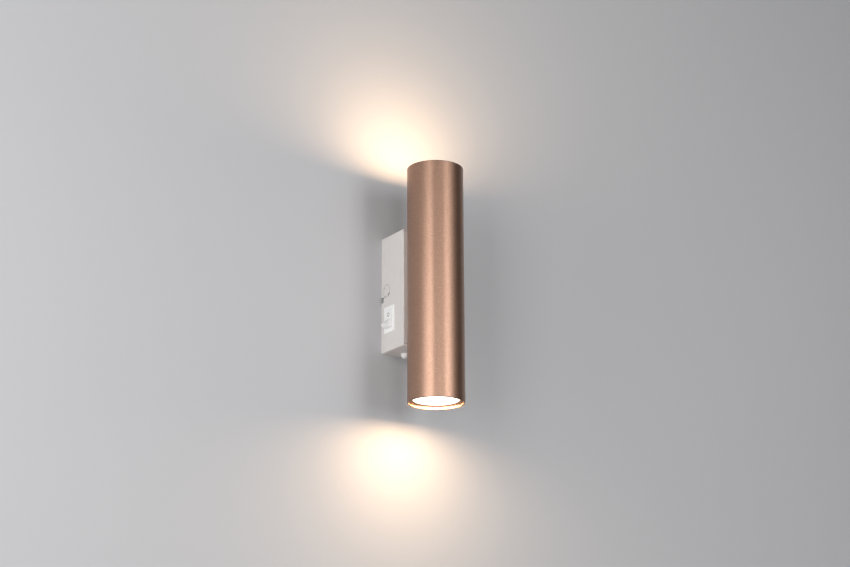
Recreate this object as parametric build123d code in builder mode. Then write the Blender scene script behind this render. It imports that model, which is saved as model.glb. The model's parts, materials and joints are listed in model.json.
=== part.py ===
from build123d import *
from math import cos, radians, sin, sqrt, tan
import os

# A tube wall light: a slim round tube, open at both ends, with a reflector lamp in each mouth,
# carried in front of a narrow wall box with a rocker switch in its left side.
# Millimetres. X is to the right along the wall, +Y goes into the wall and +Z is up.
# The origin is the middle of the wall bracket's back, on the wall.

os.makedirs("parts", exist_ok=True)

# ---------------------------------------------------------------- clearances
SEAT_GAP = 0.1          # between fixed pieces that are drawn just clear of each other
HOLE_GAP = 0.15         # round a screw, nipple or wire in its hole, per side
THREAD_GAP = 0.05       # between a thread and its hole, per side
RUNNING_GAP = 0.3       # between pieces that move past each other
PIVOT_GAP = 0.05        # round a pivot in its hole, per side

# ---------------------------------------------------------------- tube
TUBE_DIAMETER = 60.0
TUBE_WALL = 1.2
TUBE_LENGTH = 256.5
TUBE_DROP = 2.4         # the tube's middle lies this far below the box's middle
TUBE_RIM_CHAMFER = 0.25

# ---------------------------------------------------------------- wall box
BOX_WIDTH = 42.0
BOX_DEPTH = 43.5
BOX_HEIGHT = 128.5
BOX_SHEET = 1.0
BOX_EDGE_RADIUS = 1.2
BOX_INNER_RADIUS = 0.3
SEAM_INSET = 2.1        # seam of the folded end, from the end face
SEAM_WIDTH = 0.35
SEAM_DEPTH = 0.3
KNOCKOUT_DIAMETER = 13.6
KNOCKOUT_FORWARD = 9.9  # its centre, from the wall
KNOCKOUT_HEIGHT = 3.5
KNOCKOUT_GROOVE_WIDTH = 0.5
KNOCKOUT_GROOVE_DEPTH = 0.4
KNOCKOUT_SLIT_WIDTH = 0.9
KNOCKOUT_SLIT_START = -62.0
KNOCKOUT_SLIT_ARC = 32.0
DIMPLE_FORWARD = 5.9
DIMPLE_HEIGHT = 6.7
DIMPLE_RADIUS = 1.1
DIMPLE_DEPTH = 0.5
DIMPLE_TAPER = 45.0
NOTCH_HEIGHT = 5.5      # pry notch in the rear edge
NOTCH_DEPTH = 4.2
NOTCH_CENTRE_HEIGHT = -5.7

# ---------------------------------------------------------------- wall bracket
BRACKET_SHEET = 1.5
BRACKET_WIDTH = 26.0
BRACKET_BEND_RADIUS = 2.5
TAB_LENGTH = 22.0
TAB_WIDTH = 16.0
TAB_CLEARANCE = 0.2     # bracket end to the inside of the box
SLOT_SPACING = 110.0
SLOT_WIDTH = 5.0
SLOT_LENGTH = 10.0
STUD_DIAMETER = 4.0
STUD_FORWARD = 14.0     # studs and cap nuts, from the wall
STUD_HEAD_DIAMETER = 7.0
STUD_HEAD_HEIGHT = 1.6
CAP_NUT_DIAMETER = 8.6
CAP_NUT_SKIRT = 1.6
CAP_NUT_HEIGHT = 5.0
STUD_END_GAP = 0.8      # stud end to the bottom of the cap nut's bore
GROMMET_FROM_END = 24.05  # cable hole's axis, from the bracket's upper end
GROMMET_BORE = 7.0
GROMMET_BARREL = 11.0
GROMMET_FLANGE = 15.0
GROMMET_FLANGE_THICKNESS = 1.8
EARTH_HEIGHT = -18.0
EARTH_SCREW_DIAMETER = 4.0
EARTH_HEAD_DIAMETER = 7.6
EARTH_HEAD_HEIGHT = 2.6
EARTH_TAG_THICKNESS = 0.8
EARTH_TAG_RADIUS = 4.2
EARTH_TAG_STEM_WIDTH = 3.4
EARTH_BARREL_RADIUS = 1.5
EARTH_BARREL_LENGTH = 4.5

# ---------------------------------------------------------------- terminal block
BLOCK_LENGTH = 28.0
BLOCK_HEIGHT = 16.0
BLOCK_DEPTH = 15.0
BLOCK_FROM_END = 33.05  # its upper face, from the bracket's upper end
BLOCK_EDGE_RADIUS = 0.8
POLE_PITCH = 8.5
POLE_MOUTH_RADIUS = 2.15
CLAMP_RADIUS = 3.0
CLAMP_WALL = 0.8
CLAMP_INSET = 2.0       # clamp ends inside the block's faces
CLAMP_SCREW_RADIUS = 1.4
CLAMP_SCREW_RECESS = 0.6
CLAMP_SCREW_INSET = 4.5
BLOCK_GROOVE_WIDTH = 1.4
BLOCK_GROOVE_DEPTH = 2.5
BLOCK_SCREW_RADIUS = 1.25
BLOCK_SCREW_HEAD_RADIUS = 2.0
BLOCK_SCREW_HEAD_HEIGHT = 1.5

# ---------------------------------------------------------------- joint of box and tube
NIPPLE_DIAMETER = 10.0
NIPPLE_BORE = 7.6
NIPPLE_PROTRUSION = 1.2
NIPPLE_NUT_ACROSS_FLATS = 14.0
NIPPLE_NUT_THICKNESS = 3.0
WASHER_DIAMETER = 15.0
WASHER_THICKNESS = 0.8
WASHER_TOOTH_COUNT = 10
WASHER_TOOTH_WIDTH = 1.6
WASHER_TOOTH_DEPTH = 1.2
TUBE_SCREW_SPACING = 70.0
TUBE_SCREW_DIAMETER = 4.0
TUBE_SCREW_HEAD_DIAMETER = 8.0
TUBE_SCREW_HEAD_HEIGHT = 2.6
TUBE_SCREW_PROTRUSION = 1.6
DRIVE_WIDTH = 1.1       # cross recess of the larger screws
DRIVE_LENGTH = 4.2
DRIVE_DEPTH = 1.3

# ---------------------------------------------------------------- lamp bracket
STRAP_SHEET = 1.5
STRAP_WIDTH = 20.0
STRAP_BEND_RADIUS = 3.0
FLANGE_DIAMETER = 38.0

# ---------------------------------------------------------------- lampholder
HOLDER_LENGTH = 32.0
HOLDER_WIDTH = 19.0
HOLDER_HEIGHT = 17.0
HOLDER_CORNER_RADIUS = 5.0
HOLDER_FACE_THICKNESS = 4.3
HOLDER_EDGE_CHAMFER = 0.6
CHAMBER_INNER_RADIUS = 1.8
CHAMBER_OUTER_RADIUS = 8.0
BARRIER_THICKNESS = 2.0
HOLDER_SCREW_SPACING = 23.4
HOLDER_SCREW_DIAMETER = 3.0
HOLDER_SCREW_HEAD_DIAMETER = 5.4
HOLDER_SCREW_HEAD_HEIGHT = 1.8
HOLDER_SCREW_RECESS = 2.4
HOLDER_SCREW_PROTRUSION = 1.5
BAYONET_TWIST = 35.0    # lamp turn from locked to free
CONTACT_WIDTH = 3.6
CONTACT_THICKNESS = 0.5
CONTACT_REAR = 3.0      # contact's leg, behind the pin circle's diameter
CONTACT_FRONT = 4.0
CONTACT_BARREL_RADIUS = 1.3
CONTACT_BARREL_LENGTH = 4.0
CONTACT_TAIL_HEIGHT = 0.8
LEAD_SLOT_LENGTH = 16.0
LEAD_SLOT_WIDTH = 8.8

# ---------------------------------------------------------------- lamp
LAMP_DIAMETER = 50.0
LAMP_HEIGHT = 47.5      # base face to front
LAMP_RECESS = 3.6       # lamp front inside the tube's end
LAMP_WALL = 1.4
LAMP_FLOOR = 2.0
LAMP_NECK_DIAMETER = 26.0
LAMP_NECK_HEIGHT = 9.0
LAMP_SHOULDER_DIAMETER = 29.0
LAMP_SHOULDER_HEIGHT = 11.0
LAMP_FLARE_HEIGHT = 37.5
LAMP_FLARE_BULGE = 2.2
LAMP_EDGE = 0.6
LAMP_RING_HEIGHT = 4.0
LAMP_RING_LIP = 0.9
LAMP_RING_WALL = 1.0
LAMP_LEDGE = 1.3        # ledge that carries the light source's board
BOARD_THICKNESS = 1.6
CHIP_COUNT = 6
CHIP_CIRCLE_RADIUS = 11.0
CHIP_SIZE = 3.5
CHIP_HEIGHT = 0.8
LENS_OVERLAP = 0.5      # lens edge on the body's rim
DRIVER_DIAMETER = 20.0
DRIVER_LENGTH = 26.0
PIN_SPACING = 10.0
PIN_NECK_DIAMETER = 3.0
PIN_HEAD_DIAMETER = 5.0
PIN_HEAD_LENGTH = 2.1
PIN_LENGTH = 7.1
PIN_EDGE = 0.4

# ---------------------------------------------------------------- switch
SWITCH_FORWARD = 16.5   # its middle, from the wall
SWITCH_HEIGHT = -30.0
BEZEL_WIDTH = 18.5
BEZEL_LENGTH = 29.0
BEZEL_THICKNESS = 1.5
BEZEL_CORNER_RADIUS = 0.8
BEZEL_EDGE = 0.5
SWITCH_BODY_WIDTH = 16.6
SWITCH_BODY_LENGTH = 26.6
SWITCH_BODY_DEPTH = 18.0
SWITCH_FLOOR = 1.5
SNAP_PROUD = 0.8
SNAP_LENGTH = 4.0
SNAP_WIDTH = 6.0
ROCKER_WIDTH = 12.0
ROCKER_RADIUS = 9.6
ROCKER_TIP_ANGLE = 31.0
ROCKER_SKIRT_ANGLE = 18.0
ROCKER_VALLEY = 1.9
ROCKER_EDGE = 0.35
ROCKER_WALL = 1.2
ROCKER_THROW = 40.0     # from one rest to the other
TRUNNION_RADIUS = 1.3
TRUNNION_LENGTH = 1.2
BOSS_RADIUS = 2.4
BOSS_LENGTH = 6.5
PLUNGER_RADIUS = 1.5
PLUNGER_REACH = 13.2    # pivot to the plunger's tip
PLUNGER_LENGTH = 8.2
PLUNGER_GAP = 0.5       # tip to the bridge's middle, so that its arms clear the tip on the way
SPRING_LENGTH = 3.6
SPRING_WIRE = 0.45
BRIDGE_SHEET = 0.6
BRIDGE_WIDTH = 4.0
BRIDGE_ARM = 8.0
BRIDGE_ARM_ANGLE = 15.0
BRIDGE_THROW = 16.0
BLADE_WIDTH = 4.8
BLADE_THICKNESS = 0.8
BLADE_LENGTH = 6.5
LOAD_CONTACT_OFFSET = 7.0
LOAD_CONTACT_THROAT = 3.0
RECEPTACLE_WALL = 0.6
RECEPTACLE_LENGTH = 8.0
BARREL_LENGTH = 4.0

# ---------------------------------------------------------------- inner leads
LEAD_DIAMETER = 1.8
LEAD_PITCH = 2.5        # side by side in the nipple
LEAD_PAIR_OFFSET = 0.95 # half the pitch of two leads in one clamp
CLAMP_ENTRY = 6.0       # lead length inside a clamp
BEND_SHARE = 0.45       # of the shorter run beside a bend
LEAD_STRAIGHT = 30.0    # lamp leads leave the straight at this height from the tube's middle
LEAD_TUBE_TURN = 4.6    # their turn into the nipple, from the tube's axis towards the wall
LEAD_BOX_TURN = 14.5    # their turn in the box, behind its front sheet
LEAD_SIDE_SPACE = 2.3   # axis of a lead to the inside of the box's right side
LEAD_SPREAD = 4.5       # the leads part above and below the nipple by this much
LIVE_LOOP_RIGHT = 12.0  # the live leads' loop, right of the nipple and in front of the blades
LIVE_LOOP_FORWARD = 5.5
LIVE_DROP = 8.0         # their straight run down to the blade
FEED_TURN_HEIGHT = 4.0  # the feed leaves its clamp's line here
FEED_SIDE_HEIGHT = -21.0  # and runs beside the box's right side from here down
FEED_SIDE_FORWARD = 0.5
EARTH_TURN_HEIGHT = 2.0  # the earth lead turns to the bracket here
EARTH_BACK_HEIGHT = -3.0  # and runs down its tag from here

# ---------------------------------------------------------------- places worked out from the above
box_front = -BOX_DEPTH
box_inside_front = -(BOX_DEPTH - BOX_SHEET)
tube_radius = TUBE_DIAMETER / 2
tube_bore = tube_radius - TUBE_WALL
tube_y = box_front - SEAT_GAP - tube_radius
tube_middle = -TUBE_DROP
strap_back = tube_y + sqrt(tube_bore**2 - (STRAP_WIDTH / 2) ** 2) - HOLE_GAP
strap_front = strap_back - STRAP_SHEET
bracket_half_height = BOX_HEIGHT / 2 - BOX_SHEET - TAB_CLEARANCE
grommet_height = bracket_half_height - GROMMET_FROM_END
block_bottom = bracket_half_height - BLOCK_FROM_END - BLOCK_HEIGHT
block_middle = block_bottom + BLOCK_HEIGHT / 2

# Each lamp seat is a plane on its flange: local x is across the pins, local y points to the wall
# and local z to the tube's open end. The lower seat is the upper one turned over.
seat_height = TUBE_LENGTH / 2 - LAMP_RECESS - LAMP_HEIGHT - RUNNING_GAP - HOLDER_HEIGHT
SIDES = {"upper": 1, "lower": -1}


def seat_plane(side, lift=0.0):
    """Plane square to the tube, a given height above one lampholder's seat."""
    height = tube_middle + side * (seat_height + lift)
    return Plane(origin=(0, tube_y, height), x_dir=(side, 0, 0), z_dir=(0, 0, side))


def section_plane(side, lift=0.0, across=0.0):
    """Upright plane through the tube's axis, for profiles turned about it or a line beside it."""
    height = tube_middle + side * (seat_height + lift)
    return Plane(origin=(across, tube_y, height), x_dir=(side, 0, 0), z_dir=(0, -1, 0))


# The box's left side: local x runs forward from the wall, local y is up, local z points out.
left_side = Plane(origin=(-BOX_WIDTH / 2, 0, 0), x_dir=(0, -1, 0), z_dir=(-1, 0, 0))
switch_origin = (-BOX_WIDTH / 2, -SWITCH_FORWARD, SWITCH_HEIGHT)
switch_face = Plane(origin=switch_origin, x_dir=(0, -1, 0), z_dir=(-1, 0, 0))
tube_axis = Axis((0, tube_y, 0), (0, 0, 1))


def switch_section(depth=0.0, tilt=0.0):
    """Section of the switch: local x is up, local y points out and local z runs forward.

    Its origin lies at a depth behind the face, and it is turned there about its own normal.
    """
    return Plane(
        origin=(depth - BOX_WIDTH / 2, -SWITCH_FORWARD, SWITCH_HEIGHT),
        x_dir=(-sin(radians(tilt)), 0, cos(radians(tilt))),
        z_dir=(0, -1, 0),
    )


def wall_plane(y):
    """Upright plane parallel to the wall, looking into the room from depth y."""
    return Plane.XZ.offset(-y)


def save(piece, node):
    """Label a finished piece and write it as its own file."""
    piece.part.label = node
    export_step(piece.part, f"parts/{node}.step")


# ================================================================ tube
with BuildPart() as tube:
    with BuildSketch(Plane.XY.offset(tube_middle - TUBE_LENGTH / 2)):
        with Locations((0, tube_y)):
            Circle(tube_radius)
            Circle(tube_bore, mode=Mode.SUBTRACT)
    extrude(amount=TUBE_LENGTH)
    chamfer(tube.edges().filter_by(GeomType.CIRCLE), TUBE_RIM_CHAMFER)
    with BuildSketch(wall_plane(tube_y)):
        with Locations((0, tube_middle)):
            Circle(NIPPLE_DIAMETER / 2 + HOLE_GAP)
            with GridLocations(0, TUBE_SCREW_SPACING, 1, 2):
                Circle(TUBE_SCREW_DIAMETER / 2 + HOLE_GAP)
    extrude(amount=-tube_radius, mode=Mode.SUBTRACT)
save(tube, "tube")

# ================================================================ wall box
with BuildPart() as wall_box:
    with BuildSketch(Plane.XZ):
        Rectangle(BOX_WIDTH, BOX_HEIGHT)
    extrude(amount=BOX_DEPTH)
    fillet(wall_box.edges().filter_by(Axis.Y), BOX_EDGE_RADIUS)
    fillet(wall_box.faces().sort_by(Axis.Y)[0].edges(), BOX_EDGE_RADIUS)
    with BuildSketch(Plane.XZ):
        RectangleRounded(
            BOX_WIDTH - 2 * BOX_SHEET, BOX_HEIGHT - 2 * BOX_SHEET, BOX_INNER_RADIUS
        )
    extrude(amount=BOX_DEPTH - BOX_SHEET, mode=Mode.SUBTRACT)
    # the seams of the folded ends, across the front
    with BuildSketch(wall_plane(box_front)):
        with GridLocations(0, BOX_HEIGHT - 2 * SEAM_INSET, 1, 2):
            Rectangle(BOX_WIDTH - 2 * BOX_EDGE_RADIUS, SEAM_WIDTH)
    extrude(amount=-SEAM_DEPTH, mode=Mode.SUBTRACT)
    # front: nipple and screws of the tube
    with BuildSketch(wall_plane(box_front)):
        with Locations((0, tube_middle)):
            Circle(NIPPLE_DIAMETER / 2 + HOLE_GAP)
            with GridLocations(0, TUBE_SCREW_SPACING, 1, 2):
                Circle(TUBE_SCREW_DIAMETER / 2 + HOLE_GAP)
    extrude(amount=-BOX_SHEET, mode=Mode.SUBTRACT)
    # ends: studs of the wall bracket
    with BuildSketch(Plane.XY):
        with Locations((0, -STUD_FORWARD)):
            Circle(STUD_DIAMETER / 2 + HOLE_GAP)
    extrude(amount=BOX_HEIGHT / 2, both=True, mode=Mode.SUBTRACT)
    # left side: switch cut-out and pry notch
    with BuildSketch(left_side):
        with Locations((SWITCH_FORWARD, SWITCH_HEIGHT)):
            Rectangle(SWITCH_BODY_WIDTH + 2 * HOLE_GAP, SWITCH_BODY_LENGTH + 2 * HOLE_GAP)
        with Locations((NOTCH_DEPTH / 2, NOTCH_CENTRE_HEIGHT)):
            Rectangle(NOTCH_DEPTH, NOTCH_HEIGHT)
    extrude(amount=-BOX_SHEET, mode=Mode.SUBTRACT)
    # knock-out: a pressed groove with one stretch sheared through, and a punched centre
    with BuildSketch(left_side):
        with Locations((KNOCKOUT_FORWARD, KNOCKOUT_HEIGHT)):
            Circle((KNOCKOUT_DIAMETER + KNOCKOUT_GROOVE_WIDTH) / 2)
            Circle((KNOCKOUT_DIAMETER - KNOCKOUT_GROOVE_WIDTH) / 2, mode=Mode.SUBTRACT)
        # and a short groove from its foot to the notch
        with Locations(((KNOCKOUT_FORWARD + NOTCH_DEPTH) / 2, KNOCKOUT_HEIGHT - KNOCKOUT_DIAMETER / 2)):
            Rectangle(KNOCKOUT_FORWARD - NOTCH_DEPTH, KNOCKOUT_GROOVE_WIDTH)
    extrude(amount=-KNOCKOUT_GROOVE_DEPTH, mode=Mode.SUBTRACT)
    with BuildSketch(left_side):
        with BuildLine():
            slit = CenterArc(
                (KNOCKOUT_FORWARD, KNOCKOUT_HEIGHT),
                KNOCKOUT_DIAMETER / 2,
                KNOCKOUT_SLIT_START,
                KNOCKOUT_SLIT_ARC,
            )
        SlotArc(slit, KNOCKOUT_SLIT_WIDTH)
    extrude(amount=-BOX_SHEET, mode=Mode.SUBTRACT)
    with BuildSketch(left_side):
        with Locations((DIMPLE_FORWARD, DIMPLE_HEIGHT)):
            Circle(DIMPLE_RADIUS)
    extrude(amount=-DIMPLE_DEPTH, taper=DIMPLE_TAPER, mode=Mode.SUBTRACT)
save(wall_box, "wall_box")

# ================================================================ wall bracket
with BuildPart() as wall_bracket:
    with BuildSketch(Plane.YZ):
        with BuildLine():
            outer = FilletPolyline(
                (-TAB_LENGTH, bracket_half_height),
                (0, bracket_half_height),
                (0, -bracket_half_height),
                (-TAB_LENGTH, -bracket_half_height),
                radius=BRACKET_BEND_RADIUS,
            )
            inner_end = bracket_half_height - BRACKET_SHEET
            FilletPolyline(
                (-TAB_LENGTH, inner_end),
                (-BRACKET_SHEET, inner_end),
                (-BRACKET_SHEET, -inner_end),
                (-TAB_LENGTH, -inner_end),
                radius=BRACKET_BEND_RADIUS - BRACKET_SHEET,
            )
            Line((-TAB_LENGTH, bracket_half_height), (-TAB_LENGTH, inner_end))
            Line((-TAB_LENGTH, -bracket_half_height), (-TAB_LENGTH, -inner_end))
        make_face()
    extrude(amount=BRACKET_WIDTH / 2, both=True)
    # the bent ends are narrower than the strip, with round corners
    with BuildSketch(Plane.XY.offset(-BOX_HEIGHT / 2)):
        with Locations((0, -(BRACKET_BEND_RADIUS + TAB_LENGTH) / 2)):
            Rectangle(2 * BRACKET_WIDTH, TAB_LENGTH - BRACKET_BEND_RADIUS)
        with Locations((0, -TAB_LENGTH / 2)):
            RectangleRounded(TAB_WIDTH, TAB_LENGTH, TAB_WIDTH / 4, mode=Mode.SUBTRACT)
    extrude(amount=BOX_HEIGHT, mode=Mode.SUBTRACT)
    with BuildSketch(Plane.XY):
        with Locations((0, -STUD_FORWARD)):
            Circle(STUD_DIAMETER / 2 + THREAD_GAP)
    extrude(amount=BOX_HEIGHT / 2, both=True, mode=Mode.SUBTRACT)
    with BuildSketch(Plane.XZ):
        with GridLocations(0, SLOT_SPACING, 1, 2):
            SlotOverall(SLOT_LENGTH, SLOT_WIDTH, rotation=90)
        with Locations((0, grommet_height)):
            Circle(GROMMET_BARREL / 2 + THREAD_GAP)
        with Locations((0, EARTH_HEIGHT)):
            Circle(EARTH_SCREW_DIAMETER / 2 + THREAD_GAP)
        with Locations((0, block_middle)):
            with GridLocations(POLE_PITCH, 0, 2, 1):
                Circle(BLOCK_SCREW_RADIUS + THREAD_GAP)
    extrude(amount=BRACKET_SHEET, mode=Mode.SUBTRACT)
save(wall_bracket, "wall_bracket")

# studs, headed inside the bracket's bent ends, and the cap nuts that hold the box on them
stud_head_seat = bracket_half_height - BRACKET_SHEET
cap_bore_depth = CAP_NUT_HEIGHT - CAP_NUT_SKIRT
stud_end = BOX_HEIGHT / 2 + cap_bore_depth - STUD_END_GAP
with BuildPart() as bracket_studs:
    for side in SIDES.values():
        stud_plane = Plane(origin=(0, -STUD_FORWARD, side * stud_head_seat), z_dir=(0, 0, side))
        with BuildSketch(stud_plane):
            Circle(STUD_DIAMETER / 2)
        extrude(amount=stud_end - stud_head_seat)
        with BuildSketch(stud_plane):
            Circle(STUD_HEAD_DIAMETER / 2)
        extrude(amount=-STUD_HEAD_HEIGHT)
save(bracket_studs, "bracket_studs")

with BuildPart() as cap_nuts:
    for side in SIDES.values():
        cap_plane = Plane(origin=(0, -STUD_FORWARD, side * BOX_HEIGHT / 2), z_dir=(0, 0, side))
        with BuildSketch(cap_plane):
            Circle(CAP_NUT_DIAMETER / 2)
        extrude(amount=CAP_NUT_HEIGHT)
        dome_face = cap_nuts.faces().sort_by(Axis((0, 0, 0), (0, 0, side)))[-1]
        fillet(dome_face.edges(), CAP_NUT_HEIGHT - CAP_NUT_SKIRT)
        with BuildSketch(cap_plane):
            Circle(STUD_DIAMETER / 2 + THREAD_GAP)
        extrude(amount=cap_bore_depth, mode=Mode.SUBTRACT)
save(cap_nuts, "cap_nuts")

# cable grommet: a flanged bush whose back is flush with the bracket's
with BuildPart() as cable_grommet:
    with BuildSketch(Plane.XZ):
        with Locations((0, grommet_height)):
            Circle(GROMMET_BARREL / 2)
    extrude(amount=BRACKET_SHEET)
    with BuildSketch(wall_plane(-BRACKET_SHEET)):
        with Locations((0, grommet_height)):
            Circle(GROMMET_FLANGE / 2)
    extrude(amount=GROMMET_FLANGE_THICKNESS)
    fillet(cable_grommet.faces().sort_by(Axis.Y)[0].outer_wire().edges(), GROMMET_FLANGE_THICKNESS / 2)
    with BuildSketch(Plane.XZ):
        with Locations((0, grommet_height)):
            Circle(GROMMET_BORE / 2)
    extrude(amount=BRACKET_SHEET + GROMMET_FLANGE_THICKNESS, mode=Mode.SUBTRACT)
save(cable_grommet, "cable_grommet")

# ================================================================ terminal block
block_back = -BRACKET_SHEET
block_front = block_back - BLOCK_DEPTH
pole_y = block_back - BLOCK_DEPTH / 2
clamp_length = BLOCK_HEIGHT - 2 * CLAMP_INSET
clamp_screw_height = BLOCK_HEIGHT - 2 * CLAMP_SCREW_INSET
with BuildPart() as terminal_block:
    with BuildSketch(wall_plane(block_back)):
        with Locations((0, block_middle)):
            RectangleRounded(BLOCK_LENGTH, BLOCK_HEIGHT, BLOCK_EDGE_RADIUS)
    extrude(amount=BLOCK_DEPTH)
    chamfer(terminal_block.faces().sort_by(Axis.Y)[0].edges(), BLOCK_EDGE_RADIUS / 2)
    # grooves that part the poles, and the fixing screws' recesses at their foot
    with BuildSketch(wall_plane(block_front)):
        with Locations((0, block_middle)):
            with GridLocations(POLE_PITCH, 0, 2, 1):
                Rectangle(BLOCK_GROOVE_WIDTH, BLOCK_HEIGHT)
                Circle(BLOCK_SCREW_HEAD_RADIUS + HOLE_GAP)
    extrude(amount=-BLOCK_GROOVE_DEPTH, mode=Mode.SUBTRACT)
    with BuildSketch(wall_plane(block_front)):
        with Locations((0, block_middle)):
            with GridLocations(POLE_PITCH, 0, 2, 1):
                Circle(BLOCK_SCREW_RADIUS + HOLE_GAP)
    extrude(amount=-BLOCK_DEPTH, mode=Mode.SUBTRACT)
    with BuildSketch(wall_plane(block_front)):
        with Locations((0, block_middle)):
            with GridLocations(POLE_PITCH, clamp_screw_height, 3, 2):
                Circle(CLAMP_SCREW_RADIUS + HOLE_GAP)
    extrude(amount=-BLOCK_DEPTH / 2, mode=Mode.SUBTRACT)
    # each pole: a mouth right through, wider where its brass clamp sits
    with BuildSketch(Plane.XY.offset(block_bottom)):
        with Locations((0, pole_y)):
            with GridLocations(POLE_PITCH, 0, 3, 1):
                Circle(POLE_MOUTH_RADIUS)
    extrude(amount=BLOCK_HEIGHT, mode=Mode.SUBTRACT)
    with BuildSketch(Plane.XY.offset(block_bottom + CLAMP_INSET)):
        with Locations((0, pole_y)):
            with GridLocations(POLE_PITCH, 0, 3, 1):
                Circle(CLAMP_RADIUS + THREAD_GAP)
    extrude(amount=clamp_length, mode=Mode.SUBTRACT)
save(terminal_block, "terminal_block")

with BuildPart() as terminal_clamps:
    with BuildSketch(Plane.XY.offset(block_bottom + CLAMP_INSET)):
        with Locations((0, pole_y)):
            with GridLocations(POLE_PITCH, 0, 3, 1):
                Circle(CLAMP_RADIUS)
                Circle(CLAMP_RADIUS - CLAMP_WALL, mode=Mode.SUBTRACT)
    extrude(amount=clamp_length)
    with BuildSketch(wall_plane(pole_y)):
        with Locations((0, block_middle)):
            with GridLocations(POLE_PITCH, clamp_screw_height, 3, 2):
                Circle(CLAMP_SCREW_RADIUS + THREAD_GAP)
    extrude(amount=CLAMP_RADIUS, mode=Mode.SUBTRACT)
save(terminal_clamps, "terminal_clamps")

clamp_screw_front = block_front + CLAMP_SCREW_RECESS
clamp_screw_tip = pole_y - LEAD_PAIR_OFFSET - LEAD_DIAMETER / 2 - SEAT_GAP
with BuildPart() as terminal_screws:
    with BuildSketch(wall_plane(clamp_screw_front)):
        with Locations((0, block_middle)):
            with GridLocations(POLE_PITCH, clamp_screw_height, 3, 2):
                Circle(CLAMP_SCREW_RADIUS)
    extrude(amount=clamp_screw_front - clamp_screw_tip)
    with BuildSketch(wall_plane(clamp_screw_front)):
        with Locations((0, block_middle)):
            with GridLocations(POLE_PITCH, clamp_screw_height, 3, 2):
                Rectangle(2 * CLAMP_SCREW_RADIUS, CLAMP_SCREW_RECESS)
    extrude(amount=-CLAMP_SCREW_RECESS, mode=Mode.SUBTRACT)
save(terminal_screws, "terminal_screws")

block_screw_seat = block_front + BLOCK_GROOVE_DEPTH
with BuildPart() as block_screws:
    with BuildSketch(wall_plane(block_screw_seat)):
        with Locations((0, block_middle)):
            with GridLocations(POLE_PITCH, 0, 2, 1):
                Circle(BLOCK_SCREW_HEAD_RADIUS)
    extrude(amount=BLOCK_SCREW_HEAD_HEIGHT)
    with BuildSketch(wall_plane(block_screw_seat)):
        with Locations((0, block_middle)):
            with GridLocations(POLE_PITCH, 0, 2, 1):
                Circle(BLOCK_SCREW_RADIUS)
    extrude(amount=block_screw_seat)
save(block_screws, "block_screws")

# ================================================================ earth point on the bracket
earth_tag_front = -BRACKET_SHEET - EARTH_TAG_THICKNESS
earth_barrel_bottom = EARTH_HEIGHT + EARTH_TAG_RADIUS + EARTH_BARREL_RADIUS
earth_barrel_top = earth_barrel_bottom + EARTH_BARREL_LENGTH
earth_barrel_y = -BRACKET_SHEET - EARTH_BARREL_RADIUS
with BuildPart() as earth_tag:
    with BuildSketch(wall_plane(-BRACKET_SHEET)):
        with Locations((0, EARTH_HEIGHT)):
            Circle(EARTH_TAG_RADIUS)
            Rectangle(
                EARTH_TAG_STEM_WIDTH, earth_barrel_top - EARTH_HEIGHT, align=(Align.CENTER, Align.MIN)
            )
            Circle(EARTH_SCREW_DIAMETER / 2 + HOLE_GAP, mode=Mode.SUBTRACT)
    extrude(amount=EARTH_TAG_THICKNESS)
    with BuildSketch(Plane.XY.offset(earth_barrel_bottom)):
        with Locations((0, earth_barrel_y)):
            Circle(EARTH_BARREL_RADIUS)
    extrude(amount=EARTH_BARREL_LENGTH)
save(earth_tag, "earth_tag")

with BuildPart() as earth_screw:
    with BuildSketch(wall_plane(earth_tag_front)):
        with Locations((0, EARTH_HEIGHT)):
            Circle(EARTH_HEAD_DIAMETER / 2)
    extrude(amount=EARTH_HEAD_HEIGHT)
    fillet(earth_screw.faces().sort_by(Axis.Y)[0].edges(), EARTH_HEAD_HEIGHT / 3)
    with BuildSketch(wall_plane(earth_tag_front - EARTH_HEAD_HEIGHT)):
        with Locations((0, EARTH_HEIGHT)):
            Rectangle(DRIVE_LENGTH, DRIVE_WIDTH)
            Rectangle(DRIVE_WIDTH, DRIVE_LENGTH)
    extrude(amount=-DRIVE_DEPTH, mode=Mode.SUBTRACT)
    with BuildSketch(wall_plane(earth_tag_front)):
        with Locations((0, EARTH_HEIGHT)):
            Circle(EARTH_SCREW_DIAMETER / 2)
    extrude(amount=earth_tag_front)
save(earth_screw, "earth_screw")

# ================================================================ box to tube
nipple_back = box_inside_front + WASHER_THICKNESS + NIPPLE_NUT_THICKNESS + NIPPLE_PROTRUSION
nipple_front = strap_front - WASHER_THICKNESS - NIPPLE_NUT_THICKNESS - NIPPLE_PROTRUSION
with BuildPart() as hollow_nipple:
    with BuildSketch(wall_plane(nipple_back)):
        with Locations((0, tube_middle)):
            Circle(NIPPLE_DIAMETER / 2)
            Circle(NIPPLE_BORE / 2, mode=Mode.SUBTRACT)
    extrude(amount=nipple_back - nipple_front)
    chamfer(hollow_nipple.edges().filter_by(GeomType.CIRCLE), TUBE_RIM_CHAMFER)
save(hollow_nipple, "hollow_nipple")

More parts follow.
